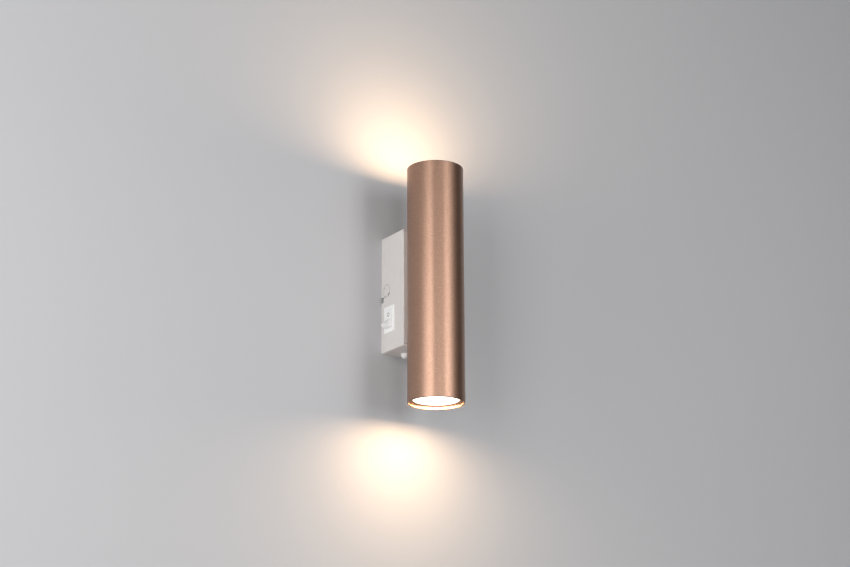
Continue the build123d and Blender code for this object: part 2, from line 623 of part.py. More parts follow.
# each end of the nipple has a toothed washer on the sheet and a nut on the washer
washer_planes = [wall_plane(box_inside_front + WASHER_THICKNESS), wall_plane(strap_front)]
nut_planes = [
    wall_plane(box_inside_front + WASHER_THICKNESS + NIPPLE_NUT_THICKNESS),
    wall_plane(strap_front - WASHER_THICKNESS),
]
with BuildPart() as lock_washers:
    for washer_plane in washer_planes:
        with BuildSketch(washer_plane):
            with Locations((0, tube_middle)):
                Circle(WASHER_DIAMETER / 2)
                Circle(NIPPLE_DIAMETER / 2 + HOLE_GAP, mode=Mode.SUBTRACT)
                with PolarLocations(WASHER_DIAMETER / 2, WASHER_TOOTH_COUNT):
                    Rectangle(2 * WASHER_TOOTH_DEPTH, WASHER_TOOTH_WIDTH, mode=Mode.SUBTRACT)
        extrude(amount=WASHER_THICKNESS)
save(lock_washers, "lock_washers")

with BuildPart() as nipple_nuts:
    for nut_plane in nut_planes:
        with BuildSketch(nut_plane):
            with Locations((0, tube_middle)):
                RegularPolygon(NIPPLE_NUT_ACROSS_FLATS / 2, 6, major_radius=False)
                Circle(NIPPLE_DIAMETER / 2 + THREAD_GAP, mode=Mode.SUBTRACT)
        extrude(amount=NIPPLE_NUT_THICKNESS)
save(nipple_nuts, "nipple_nuts")

tube_screw_length = box_inside_front - strap_front + TUBE_SCREW_PROTRUSION
with BuildPart() as tube_screws:
    with BuildSketch(wall_plane(box_inside_front + TUBE_SCREW_HEAD_HEIGHT)):
        with Locations((0, tube_middle)):
            with GridLocations(0, TUBE_SCREW_SPACING, 1, 2):
                Circle(TUBE_SCREW_HEAD_DIAMETER / 2)
    extrude(amount=TUBE_SCREW_HEAD_HEIGHT)
    fillet(tube_screws.edges().group_by(Axis.Y)[-1], TUBE_SCREW_HEAD_HEIGHT / 3)
    with BuildSketch(wall_plane(box_inside_front + TUBE_SCREW_HEAD_HEIGHT)):
        with Locations((0, tube_middle)):
            with GridLocations(0, TUBE_SCREW_SPACING, 1, 2):
                Rectangle(DRIVE_LENGTH, DRIVE_WIDTH)
                Rectangle(DRIVE_WIDTH, DRIVE_LENGTH)
    extrude(amount=DRIVE_DEPTH, mode=Mode.SUBTRACT)
    with BuildSketch(wall_plane(box_inside_front)):
        with Locations((0, tube_middle)):
            with GridLocations(0, TUBE_SCREW_SPACING, 1, 2):
                Circle(TUBE_SCREW_DIAMETER / 2)
    extrude(amount=tube_screw_length)
save(tube_screws, "tube_screws")

# ================================================================ lamp bracket
strap_half_height = seat_height
contact_leg = CONTACT_REAR - CONTACT_THICKNESS / 2
with BuildPart() as lamp_bracket:
    with BuildSketch(Plane.YZ):
        with BuildLine():
            top = tube_middle + strap_half_height
            bottom = tube_middle - strap_half_height
            FilletPolyline(
                (tube_y, top),
                (strap_back, top),
                (strap_back, bottom),
                (tube_y, bottom),
                radius=STRAP_BEND_RADIUS,
            )
            FilletPolyline(
                (tube_y, top - STRAP_SHEET),
                (strap_front, top - STRAP_SHEET),
                (strap_front, bottom + STRAP_SHEET),
                (tube_y, bottom + STRAP_SHEET),
                radius=STRAP_BEND_RADIUS - STRAP_SHEET,
            )
            Line((tube_y, top), (tube_y, top - STRAP_SHEET))
            Line((tube_y, bottom), (tube_y, bottom + STRAP_SHEET))
        make_face()
    extrude(amount=STRAP_WIDTH / 2, both=True)
    for side in SIDES.values():
        with BuildSketch(seat_plane(side)):
            Circle(FLANGE_DIAMETER / 2)
        extrude(amount=-STRAP_SHEET)
        with BuildSketch(seat_plane(side)):
            with GridLocations(HOLDER_SCREW_SPACING, 0, 2, 1):
                Circle(HOLDER_SCREW_DIAMETER / 2 + THREAD_GAP)
            SlotOverall(LEAD_SLOT_LENGTH, LEAD_SLOT_WIDTH)
        extrude(amount=-STRAP_SHEET, mode=Mode.SUBTRACT)
    with BuildSketch(wall_plane(strap_back)):
        with Locations((0, tube_middle)):
            Circle(NIPPLE_DIAMETER / 2 + HOLE_GAP)
            with GridLocations(0, TUBE_SCREW_SPACING, 1, 2):
                Circle(TUBE_SCREW_DIAMETER / 2 + THREAD_GAP)
    extrude(amount=STRAP_SHEET, mode=Mode.SUBTRACT)
save(lamp_bracket, "lamp_bracket")

# ================================================================ lampholders
pin_circle = PIN_SPACING / 2
face_underside = HOLDER_HEIGHT - HOLDER_FACE_THICKNESS
barrier_angle = BAYONET_TWIST / 2 + 90
neck_slot_width = PIN_NECK_DIAMETER + 2 * RUNNING_GAP
head_hole_radius = PIN_HEAD_DIAMETER / 2 + RUNNING_GAP
contact_top = HOLDER_HEIGHT + RUNNING_GAP - PIN_LENGTH - RUNNING_GAP
for name, side in SIDES.items():
    with BuildPart() as lampholder:
        with BuildSketch(seat_plane(side)):
            RectangleRounded(HOLDER_LENGTH, HOLDER_WIDTH, HOLDER_CORNER_RADIUS)
        extrude(amount=HOLDER_HEIGHT)
        rims = lampholder.faces().filter_by(Axis.Z).edges()
        chamfer(rims, HOLDER_EDGE_CHAMFER)
        # chamber under the face, parted by a barrier between the two poles
        with BuildSketch(seat_plane(side)):
            Circle(CHAMBER_OUTER_RADIUS)
            Circle(CHAMBER_INNER_RADIUS, mode=Mode.SUBTRACT)
            Rectangle(
                2 * CHAMBER_OUTER_RADIUS,
                BARRIER_THICKNESS,
                rotation=barrier_angle,
                mode=Mode.SUBTRACT,
            )
        extrude(amount=face_underside, mode=Mode.SUBTRACT)
        # keyholes: each head drops through its round end and the neck then turns along the slot
        with BuildSketch(seat_plane(side, HOLDER_HEIGHT)):
            for start in (0, 180):
                with BuildLine():
                    track = CenterArc((0, 0), pin_circle, start, BAYONET_TWIST)
                SlotArc(track, neck_slot_width)
                with Locations(track @ 1):
                    Circle(head_hole_radius)
        extrude(amount=-HOLDER_FACE_THICKNESS, mode=Mode.SUBTRACT)
        with Locations(seat_plane(side, HOLDER_HEIGHT)):
            with GridLocations(HOLDER_SCREW_SPACING, 0, 2, 1):
                CounterBoreHole(
                    HOLDER_SCREW_DIAMETER / 2 + HOLE_GAP,
                    HOLDER_SCREW_HEAD_DIAMETER / 2 + HOLE_GAP,
                    HOLDER_SCREW_RECESS,
                )
    save(lampholder, f"{name}_lampholder")

    # contacts: a tongue under each pin head and a leg down to its crimp barrel
    with BuildPart() as contacts:
        for start in (0, 180):
            turn = seat_plane(side).rotated((0, 0, start))
            tongue_length = CONTACT_REAR + CONTACT_FRONT
            with BuildSketch(turn.offset(contact_top)):
                with Locations((pin_circle, CONTACT_FRONT - tongue_length / 2)):
                    Rectangle(CONTACT_WIDTH, tongue_length)
            extrude(amount=-CONTACT_THICKNESS)
            with BuildSketch(turn.offset(contact_top)):
                with Locations((pin_circle, -contact_leg)):
                    Rectangle(CONTACT_WIDTH, CONTACT_THICKNESS)
            extrude(amount=CONTACT_TAIL_HEIGHT - contact_top)
            with BuildSketch(turn.offset(CONTACT_TAIL_HEIGHT)):
                with Locations((pin_circle, -contact_leg)):
                    Circle(CONTACT_BARREL_RADIUS)
            extrude(amount=CONTACT_BARREL_LENGTH)
    save(contacts, f"{name}_contacts")

with BuildPart() as holder_screws:
    head_seat = HOLDER_HEIGHT - HOLDER_SCREW_RECESS
    for side in SIDES.values():
        with BuildSketch(seat_plane(side, head_seat)):
            with GridLocations(HOLDER_SCREW_SPACING, 0, 2, 1):
                Circle(HOLDER_SCREW_HEAD_DIAMETER / 2)
        extrude(amount=HOLDER_SCREW_HEAD_HEIGHT)
        with BuildSketch(seat_plane(side, head_seat + HOLDER_SCREW_HEAD_HEIGHT)):
            with GridLocations(HOLDER_SCREW_SPACING, 0, 2, 1):
                Rectangle(DRIVE_LENGTH - DRIVE_WIDTH, DRIVE_WIDTH)
                Rectangle(DRIVE_WIDTH, DRIVE_LENGTH - DRIVE_WIDTH)
        extrude(amount=-DRIVE_DEPTH, mode=Mode.SUBTRACT)
        with BuildSketch(seat_plane(side, head_seat)):
            with GridLocations(HOLDER_SCREW_SPACING, 0, 2, 1):
                Circle(HOLDER_SCREW_DIAMETER / 2)
        extrude(amount=-(head_seat + STRAP_SHEET + HOLDER_SCREW_PROTRUSION))
save(holder_screws, "holder_screws")

# ================================================================ lamps
lamp_base = HOLDER_HEIGHT + RUNNING_GAP
lamp_radius = LAMP_DIAMETER / 2
pin_radius = PIN_NECK_DIAMETER / 2
head_radius = PIN_HEAD_DIAMETER / 2
neck_radius = LAMP_NECK_DIAMETER / 2
shoulder_radius = LAMP_SHOULDER_DIAMETER / 2
rim_top = LAMP_HEIGHT - LAMP_RING_HEIGHT
rim_bore = lamp_radius - LAMP_RING_WALL - LENS_OVERLAP
ledge_radius = rim_bore - LAMP_LEDGE
for name, side in SIDES.items():
    turned = section_plane(side, lamp_base)
    with BuildPart() as lamp_body:
        # outer form: neck, shoulder, bulging flare and straight rim
        with BuildSketch(turned):
            with BuildLine():
                Polyline(
                    (0, 0),
                    (neck_radius - LAMP_EDGE, 0),
                    (neck_radius, LAMP_EDGE),
                    (neck_radius, LAMP_NECK_HEIGHT),
                    (shoulder_radius, LAMP_SHOULDER_HEIGHT),
                )
                SagittaArc(
                    (shoulder_radius, LAMP_SHOULDER_HEIGHT),
                    (lamp_radius, LAMP_FLARE_HEIGHT),
                    -LAMP_FLARE_BULGE,
                )
                Polyline(
                    (lamp_radius, LAMP_FLARE_HEIGHT),
                    (lamp_radius, rim_top),
                    (0, rim_top),
                    (0, 0),
                )
            make_face()
        revolve(axis=tube_axis)
        # hollow: neck, flare, the ledge for the board and the rim
        with BuildSketch(turned):
            with BuildLine():
                Polyline(
                    (0, LAMP_FLOOR),
                    (neck_radius - LAMP_WALL, LAMP_FLOOR),
                    (neck_radius - LAMP_WALL, LAMP_NECK_HEIGHT),
                    (shoulder_radius - LAMP_WALL, LAMP_SHOULDER_HEIGHT),
                )
                SagittaArc(
                    (shoulder_radius - LAMP_WALL, LAMP_SHOULDER_HEIGHT),
                    (ledge_radius, LAMP_FLARE_HEIGHT),
                    -LAMP_FLARE_BULGE,
                )
                Polyline(
                    (ledge_radius, LAMP_FLARE_HEIGHT),
                    (rim_bore, LAMP_FLARE_HEIGHT),
                    (rim_bore, rim_top),
                    (0, rim_top),
                    (0, LAMP_FLOOR),
                )
            make_face()
        revolve(axis=tube_axis, mode=Mode.SUBTRACT)
        with BuildSketch(seat_plane(side, lamp_base)):
            with PolarLocations(pin_circle, 2):
                Circle(PIN_NECK_DIAMETER / 2 + THREAD_GAP)
        extrude(amount=LAMP_FLOOR, mode=Mode.SUBTRACT)
    save(lamp_body, f"{name}_lamp_body")

    with BuildPart() as lamp_pins:
        for pin_x in (-pin_circle, pin_circle):
            with BuildSketch(section_plane(side, lamp_base, pin_x)):
                with BuildLine():
                    Polyline(
                        (0, LAMP_FLOOR),
                        (pin_radius, LAMP_FLOOR),
                        (pin_radius, PIN_HEAD_LENGTH - PIN_LENGTH),
                        (head_radius - PIN_EDGE, PIN_HEAD_LENGTH - PIN_LENGTH),
                        (head_radius, PIN_HEAD_LENGTH - PIN_LENGTH - PIN_EDGE),
                        (head_radius, PIN_EDGE - PIN_LENGTH),
                        (head_radius - PIN_EDGE, -PIN_LENGTH),
                        (0, -PIN_LENGTH),
                        close=True,
                    )
                make_face()
            revolve(axis=Axis((pin_x, tube_y, 0), (0, 0, 1)))
    save(lamp_pins, f"{name}_lamp_pins")

    with BuildPart() as driver:
        with BuildSketch(seat_plane(side, lamp_base + LAMP_FLOOR)):
            Circle(DRIVER_DIAMETER / 2)
        extrude(amount=DRIVER_LENGTH)
    save(driver, f"{name}_driver")

    with BuildPart() as light_board:
        with BuildSketch(seat_plane(side, lamp_base + LAMP_FLARE_HEIGHT)):
            Circle(rim_bore - SEAT_GAP)
        extrude(amount=BOARD_THICKNESS)
        with BuildSketch(seat_plane(side, lamp_base + LAMP_FLARE_HEIGHT + BOARD_THICKNESS)):
            with PolarLocations(CHIP_CIRCLE_RADIUS, CHIP_COUNT):
                Rectangle(CHIP_SIZE, CHIP_SIZE)
        extrude(amount=CHIP_HEIGHT)
    save(light_board, f"{name}_light_board")

    with BuildPart() as lens:
        with BuildSketch(seat_plane(side, lamp_base + rim_top)):
            Circle(rim_bore + LENS_OVERLAP - SEAT_GAP)
        extrude(amount=LAMP_RING_HEIGHT - LAMP_RING_LIP - SEAT_GAP)
    save(lens, f"{name}_lens")

    ring_radius = lamp_radius - LAMP_RING_WALL
    with BuildPart() as lamp_ring:
        with BuildSketch(turned):
            with BuildLine():
                Polyline(
                    (ring_radius, rim_top),
                    (lamp_radius, rim_top),
                    (lamp_radius, LAMP_HEIGHT - LAMP_EDGE),
                    (lamp_radius - LAMP_EDGE, LAMP_HEIGHT),
                    (ring_radius - LENS_OVERLAP, LAMP_HEIGHT),
                    (ring_radius - LENS_OVERLAP, LAMP_HEIGHT - LAMP_RING_LIP),
                    (ring_radius, LAMP_HEIGHT - LAMP_RING_LIP),
                    close=True,
                )
            make_face()
        revolve(axis=tube_axis)
    save(lamp_ring, f"{name}_lamp_ring")

# ================================================================ switch
well_radius = ROCKER_RADIUS + RUNNING_GAP
well_half_width = ROCKER_WIDTH / 2 + RUNNING_GAP
cavity_floor = SWITCH_FLOOR - SWITCH_BODY_DEPTH
bridge_top = -(PLUNGER_REACH + PLUNGER_GAP)
bridge_pivot = bridge_top - BRIDGE_SHEET / 2
with BuildPart() as switch_housing:
    with BuildSketch(switch_face):
        RectangleRounded(BEZEL_WIDTH, BEZEL_LENGTH, BEZEL_CORNER_RADIUS)
    extrude(amount=BEZEL_THICKNESS)
    fillet(switch_housing.faces().sort_by(Axis.X)[0].edges(), BEZEL_EDGE)
    with BuildSketch(switch_face):
        Rectangle(SWITCH_BODY_WIDTH, SWITCH_BODY_LENGTH)
    extrude(amount=-SWITCH_BODY_DEPTH)
    # snap wedges that grip behind the box's sheet
    with BuildSketch(switch_section()):
        snap_start = -(BOX_SHEET + SEAT_GAP)
        snap_base = SWITCH_BODY_LENGTH / 2
        with BuildLine():
            Polyline(
                (snap_base, snap_start),
                (snap_base + SNAP_PROUD, snap_start),
                (snap_base, snap_start - SNAP_LENGTH),
                close=True,
            )
        make_face()
        mirror(about=Plane.YZ)
    extrude(amount=SNAP_WIDTH / 2, both=True)
    # well for the rocker and chamber for the contacts
    with BuildSketch(switch_section()):
        Circle(well_radius)
        with Locations((0, cavity_floor / 2)):
            Rectangle(2 * well_radius, -cavity_floor)
    extrude(amount=well_half_width, both=True, mode=Mode.SUBTRACT)
    with BuildSketch(switch_section()):
        Circle(TRUNNION_RADIUS + PIVOT_GAP)
    extrude(amount=well_half_width + TRUNNION_LENGTH, both=True, mode=Mode.SUBTRACT)
    # slots in the floor for the two blades
    with BuildSketch(switch_face.offset(cavity_floor)):
        for offset_up in (0, LOAD_CONTACT_OFFSET):
            with Locations((0, offset_up)):
                Rectangle(BLADE_WIDTH + 2 * THREAD_GAP, BLADE_THICKNESS + 2 * THREAD_GAP)
    extrude(amount=-SWITCH_FLOOR, mode=Mode.SUBTRACT)
save(switch_housing, "switch_housing")

# At rest the upper half of the rocker is pressed in.
rocker_section = switch_section(tilt=-ROCKER_THROW / 2)
# Plane through the rocker's pivot, square to the plunger.
plunger_plane = Plane(
    origin=rocker_section.origin, x_dir=rocker_section.z_dir, z_dir=rocker_section.y_dir
)
plunger_top = PLUNGER_REACH - PLUNGER_LENGTH
tip_x = ROCKER_RADIUS * cos(radians(ROCKER_TIP_ANGLE))
tip_y = ROCKER_RADIUS * sin(radians(ROCKER_TIP_ANGLE))
skirt_x = ROCKER_RADIUS * cos(radians(ROCKER_SKIRT_ANGLE))
skirt_y = -ROCKER_RADIUS * sin(radians(ROCKER_SKIRT_ANGLE))
with BuildPart() as switch_rocker:
    # section: two faces that meet in a valley, and round ends about the pivot
    with BuildSketch(rocker_section) as rocker_outline:
        with BuildLine():
            Polyline((-tip_x, tip_y), (0, ROCKER_VALLEY), (tip_x, tip_y))
            ThreePointArc((tip_x, tip_y), (ROCKER_RADIUS, 0), (skirt_x, skirt_y))
            Line((skirt_x, skirt_y), (-skirt_x, skirt_y))
            ThreePointArc((-skirt_x, skirt_y), (-ROCKER_RADIUS, 0), (-tip_x, tip_y))
        make_face()
        fillet(rocker_outline.vertices().sort_by(Axis.Y)[-2:], ROCKER_EDGE)
    extrude(amount=ROCKER_WIDTH / 2, both=True)
    # hollow underneath, on each side of the middle boss
    pocket_start = BOSS_RADIUS + SEAT_GAP
    pocket_end = skirt_x - ROCKER_WALL
    pocket_rise = (tip_y - ROCKER_VALLEY) / tip_x
    with BuildSketch(rocker_section):
        with BuildLine():
            Polyline(
                (pocket_start, skirt_y),
                (pocket_end, skirt_y),
                (pocket_end - ROCKER_WALL, ROCKER_VALLEY + pocket_rise * pocket_end - 2 * ROCKER_WALL),
                (pocket_start, ROCKER_VALLEY + pocket_rise * pocket_start - 2 * ROCKER_WALL),
                close=True,
            )
        make_face()
        mirror(about=Plane.YZ)
    extrude(amount=ROCKER_WIDTH / 2 - ROCKER_WALL, both=True, mode=Mode.SUBTRACT)
    with BuildSketch(plunger_plane):
        Circle(BOSS_RADIUS)
    extrude(amount=-BOSS_LENGTH)
    with BuildSketch(rocker_section):
        Circle(TRUNNION_RADIUS)
    extrude(amount=ROCKER_WIDTH / 2 + RUNNING_GAP + TRUNNION_LENGTH - PIVOT_GAP, both=True)
    with BuildSketch(plunger_plane.offset(-BOSS_LENGTH)):
        Circle(PLUNGER_RADIUS + PIVOT_GAP)
    extrude(amount=BOSS_LENGTH - plunger_top + SPRING_LENGTH, mode=Mode.SUBTRACT)
save(switch_rocker, "switch_rocker")

with BuildPart() as switch_plunger:
    with BuildSketch(plunger_plane.offset(-plunger_top)):
        Circle(PLUNGER_RADIUS)
    extrude(amount=-(PLUNGER_LENGTH - PLUNGER_RADIUS))
    with Locations(plunger_plane.offset(PLUNGER_RADIUS - PLUNGER_REACH)):
        Sphere(PLUNGER_RADIUS)
save(switch_plunger, "switch_plunger")

# the spring, drawn as the sleeve that its turns fill
with BuildPart() as switch_spring:
    with BuildSketch(plunger_plane.offset(-plunger_top)):
        Circle(PLUNGER_RADIUS - THREAD_GAP)
        Circle(PLUNGER_RADIUS - THREAD_GAP - SPRING_WIRE, mode=Mode.SUBTRACT)
    extrude(amount=SPRING_LENGTH)
save(switch_spring, "switch_spring")

# contact bridge: a shallow V that tilts under the plunger, the other way from the rocker
bridge_section = switch_section(-bridge_pivot, BRIDGE_THROW / 2)
arm_x = BRIDGE_ARM
arm_y = BRIDGE_ARM * tan(radians(BRIDGE_ARM_ANGLE))
half_sheet = BRIDGE_SHEET / 2
with BuildPart() as contact_bridge:
    with BuildSketch(bridge_section):
        with BuildLine():
            Polyline(
                (-arm_x, arm_y + half_sheet),
                (0, half_sheet),
                (arm_x, arm_y + half_sheet),
                (arm_x, arm_y - half_sheet),
                (0, -half_sheet),
                (-arm_x, arm_y - half_sheet),
                close=True,
            )
        make_face()
    extrude(amount=BRIDGE_WIDTH / 2, both=True)
save(contact_bridge, "contact_bridge")

# the bridge rests on the common blade and meets the load blade when the lower half is pressed
blade_end = -(SWITCH_BODY_DEPTH + BLADE_LENGTH)
common_top = bridge_pivot - half_sheet - RUNNING_GAP
closed_angle = radians(BRIDGE_ARM_ANGLE - BRIDGE_THROW / 2)
load_reach = LOAD_CONTACT_OFFSET - BLADE_THICKNESS / 2 - LOAD_CONTACT_THROAT
load_top = bridge_pivot + load_reach * tan(closed_angle) - half_sheet / cos(closed_angle) - RUNNING_GAP
with BuildPart() as common_terminal:
    with BuildSketch(switch_face.offset(common_top)):
        Rectangle(BLADE_WIDTH, BLADE_THICKNESS)
    extrude(amount=blade_end - common_top)
save(common_terminal, "common_terminal")

with BuildPart() as load_terminal:
    with BuildSketch(switch_face.offset(load_top)):
        with Locations((0, LOAD_CONTACT_OFFSET)):
            Rectangle(BLADE_WIDTH, BLADE_THICKNESS)
    extrude(amount=blade_end - load_top)
    with BuildSketch(switch_face.offset(load_top)):
        with Locations((0, LOAD_CONTACT_OFFSET - (BLADE_THICKNESS + LOAD_CONTACT_THROAT) / 2)):
            Rectangle(BLADE_WIDTH, LOAD_CONTACT_THROAT)
    extrude(amount=-BLADE_THICKNESS)
save(load_terminal, "load_terminal")

receptacle_top = -(SWITCH_BODY_DEPTH + SEAT_GAP)
receptacle_width = BLADE_WIDTH + 2 * (THREAD_GAP + RECEPTACLE_WALL)
receptacle_depth = BLADE_THICKNESS + 2 * (THREAD_GAP + RECEPTACLE_WALL)
barrel_end = receptacle_top - RECEPTACLE_LENGTH - BARREL_LENGTH
with BuildPart() as switch_receptacles:
    for offset_up in (0, LOAD_CONTACT_OFFSET):
        with BuildSketch(switch_face.offset(receptacle_top)):
            with Locations((0, offset_up)):
                Rectangle(receptacle_width, receptacle_depth)
        extrude(amount=-RECEPTACLE_LENGTH)
        with BuildSketch(switch_face.offset(receptacle_top)):
            with Locations((0, offset_up)):
                Rectangle(BLADE_WIDTH + 2 * THREAD_GAP, BLADE_THICKNESS + 2 * THREAD_GAP)
        extrude(amount=blade_end - receptacle_top - SEAT_GAP, mode=Mode.SUBTRACT)
        with BuildSketch(switch_face.offset(receptacle_top - RECEPTACLE_LENGTH)):
            with Locations((0, offset_up)):
                SlotOverall(2 * (LEAD_PAIR_OFFSET + LEAD_DIAMETER / 2 + THREAD_GAP), receptacle_depth)
        extrude(amount=-BARREL_LENGTH)
save(switch_receptacles, "switch_receptacles")

# ================================================================ inner leads
def bend_radii(points):
    """Radius of each bend: as large as the shorter run beside it allows."""
    radii = []
    for before, corner, after in zip(points, points[1:], points[2:]):
        run_in = Vector(*corner) - Vector(*before)
        run_out = Vector(*after) - Vector(*corner)
        half_turn = radians(run_in.get_angle(run_out)) / 2
        radii.append(BEND_SHARE * min(run_in.length, run_out.length) / tan(half_turn))
    return radii


def report_lead(name, route, radii, volume):
    """Print a lead's length, its bends and its volume against section times length."""
    tube_volume = route.length * (LEAD_DIAMETER / 2) ** 2 * radians(180)
    bends = [round(radius, 1) for radius in radii]
    print(f"{name}: {route.length:.1f} long, bends {bends}, volume ratio {volume / tube_volume:.4f}")


clamp_top = block_bottom + CLAMP_ENTRY
lead_side = LEAD_PITCH / 2
right_space = BOX_WIDTH / 2 - BOX_SHEET - LEAD_SIDE_SPACE
switch_end = -BOX_WIDTH / 2 - barrel_end
load_height = SWITCH_HEIGHT + LOAD_CONTACT_OFFSET
box_turn_y = box_inside_front + LEAD_BOX_TURN
for name, side in SIDES.items():
    lamp_end = tube_middle + side * (seat_height + CONTACT_TAIL_HEIGHT)
    lead_height = tube_middle + side * lead_side
    clamp_y = pole_y - side * LEAD_PAIR_OFFSET
    blade_y = -SWITCH_FORWARD + side * LEAD_PAIR_OFFSET
    # the left lead goes up into the neutral clamp
    neutral_points = [
        (-pin_circle, tube_y + side * contact_leg, lamp_end),
        (-pin_circle, tube_y + side * contact_leg, tube_middle + side * LEAD_STRAIGHT),
        (-lead_side, tube_y + LEAD_TUBE_TURN, lead_height),
        (-lead_side, box_turn_y, lead_height),
        (-POLE_PITCH, clamp_y, tube_middle + LEAD_SPREAD + side * LEAD_PAIR_OFFSET),
        (-POLE_PITCH, clamp_y, clamp_top),
    ]
    # the right lead goes down beside the box's right side and back to the switch's load blade
    loop_height = tube_middle - LEAD_SPREAD + side * LEAD_PAIR_OFFSET
    live_points = [
        (pin_circle, tube_y - side * contact_leg, lamp_end),
        (pin_circle, tube_y - side * contact_leg, tube_middle + side * LEAD_STRAIGHT),
        (lead_side, tube_y + LEAD_TUBE_TURN, lead_height),
        (lead_side, box_turn_y, lead_height),
        (LIVE_LOOP_RIGHT, blade_y - LIVE_LOOP_FORWARD, loop_height),
        (right_space, blade_y, load_height + LIVE_DROP),
        (right_space, blade_y, load_height),
        (switch_end, blade_y, load_height),
    ]
    with BuildPart() as lamp_leads:
        for points in (neutral_points, live_points):
            with BuildLine():
                route = FilletPolyline(*points, radius=bend_radii(points))
            with BuildSketch(Plane(origin=route @ 0, z_dir=route % 0)):
                Circle(LEAD_DIAMETER / 2)
            lead = sweep(path=route)
            report_lead(f"{name} lamp lead", route, bend_radii(points), lead.volume)
    save(lamp_leads, f"{name}_leads")

# feed from the live clamp to the switch's common blade
feed_points = [
    (POLE_PITCH, pole_y, clamp_top),
    (POLE_PITCH, pole_y, FEED_TURN_HEIGHT),
    (right_space, pole_y - FEED_SIDE_FORWARD, FEED_SIDE_HEIGHT),
    (right_space, -SWITCH_FORWARD, SWITCH_HEIGHT),
    (switch_end, -SWITCH_FORWARD, SWITCH_HEIGHT),
]
with BuildPart() as feed_lead:
    with BuildLine():
        route = FilletPolyline(*feed_points, radius=bend_radii(feed_points))
    with BuildSketch(Plane(origin=route @ 0, z_dir=route % 0)):
        Circle(LEAD_DIAMETER / 2)
    lead = sweep(path=route)
    report_lead("feed lead", route, bend_radii(feed_points), lead.volume)
save(feed_lead, "feed_lead")

earth_points = [
    (0, pole_y, clamp_top),
    (0, pole_y, EARTH_TURN_HEIGHT),
    (0, earth_barrel_y, EARTH_BACK_HEIGHT),
    (0, earth_barrel_y, earth_barrel_top),
]
with BuildPart() as earth_lead:
    with BuildLine():
        route = FilletPolyline(*earth_points, radius=bend_radii(earth_points))
    with BuildSketch(Plane(origin=route @ 0, z_dir=route % 0)):
        Circle(LEAD_DIAMETER / 2)
    lead = sweep(path=route)
    report_lead("earth lead", route, bend_radii(earth_points), lead.volume)
save(earth_lead, "earth_lead")
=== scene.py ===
"""Looks of the tube wall light: its finishes, small moulded details, studio and camera.

Lengths and places are in metres, unless a docstring says otherwise.
"""

import json
import logging
import math
from dataclasses import dataclass, field
from enum import Enum
from functools import cached_property

import bmesh
import bpy
from mathutils import Matrix, Vector


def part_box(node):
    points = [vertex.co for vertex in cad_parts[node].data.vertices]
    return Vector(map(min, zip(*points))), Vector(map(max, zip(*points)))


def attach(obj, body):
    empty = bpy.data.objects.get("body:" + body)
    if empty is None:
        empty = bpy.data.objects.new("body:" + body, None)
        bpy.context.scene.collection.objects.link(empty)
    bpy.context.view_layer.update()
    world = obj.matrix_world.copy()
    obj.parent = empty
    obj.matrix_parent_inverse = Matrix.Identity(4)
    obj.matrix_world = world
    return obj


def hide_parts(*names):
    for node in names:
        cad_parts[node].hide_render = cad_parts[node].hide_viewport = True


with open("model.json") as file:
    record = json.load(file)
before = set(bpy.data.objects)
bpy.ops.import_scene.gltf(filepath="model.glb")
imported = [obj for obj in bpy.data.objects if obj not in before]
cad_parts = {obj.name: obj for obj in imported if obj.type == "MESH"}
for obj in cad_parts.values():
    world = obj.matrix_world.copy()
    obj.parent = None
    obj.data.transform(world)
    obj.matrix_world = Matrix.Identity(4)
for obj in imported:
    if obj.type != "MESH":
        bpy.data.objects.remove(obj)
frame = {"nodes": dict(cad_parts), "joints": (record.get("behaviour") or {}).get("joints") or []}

log = logging.getLogger("tube_wall_light")

Pair = tuple[float, float]
Triple = tuple[float, float, float]
Colour = Triple
Socket = bpy.types.NodeSocket
SAME_POINT = 1e-7  # metres within which two points of a new piece are one


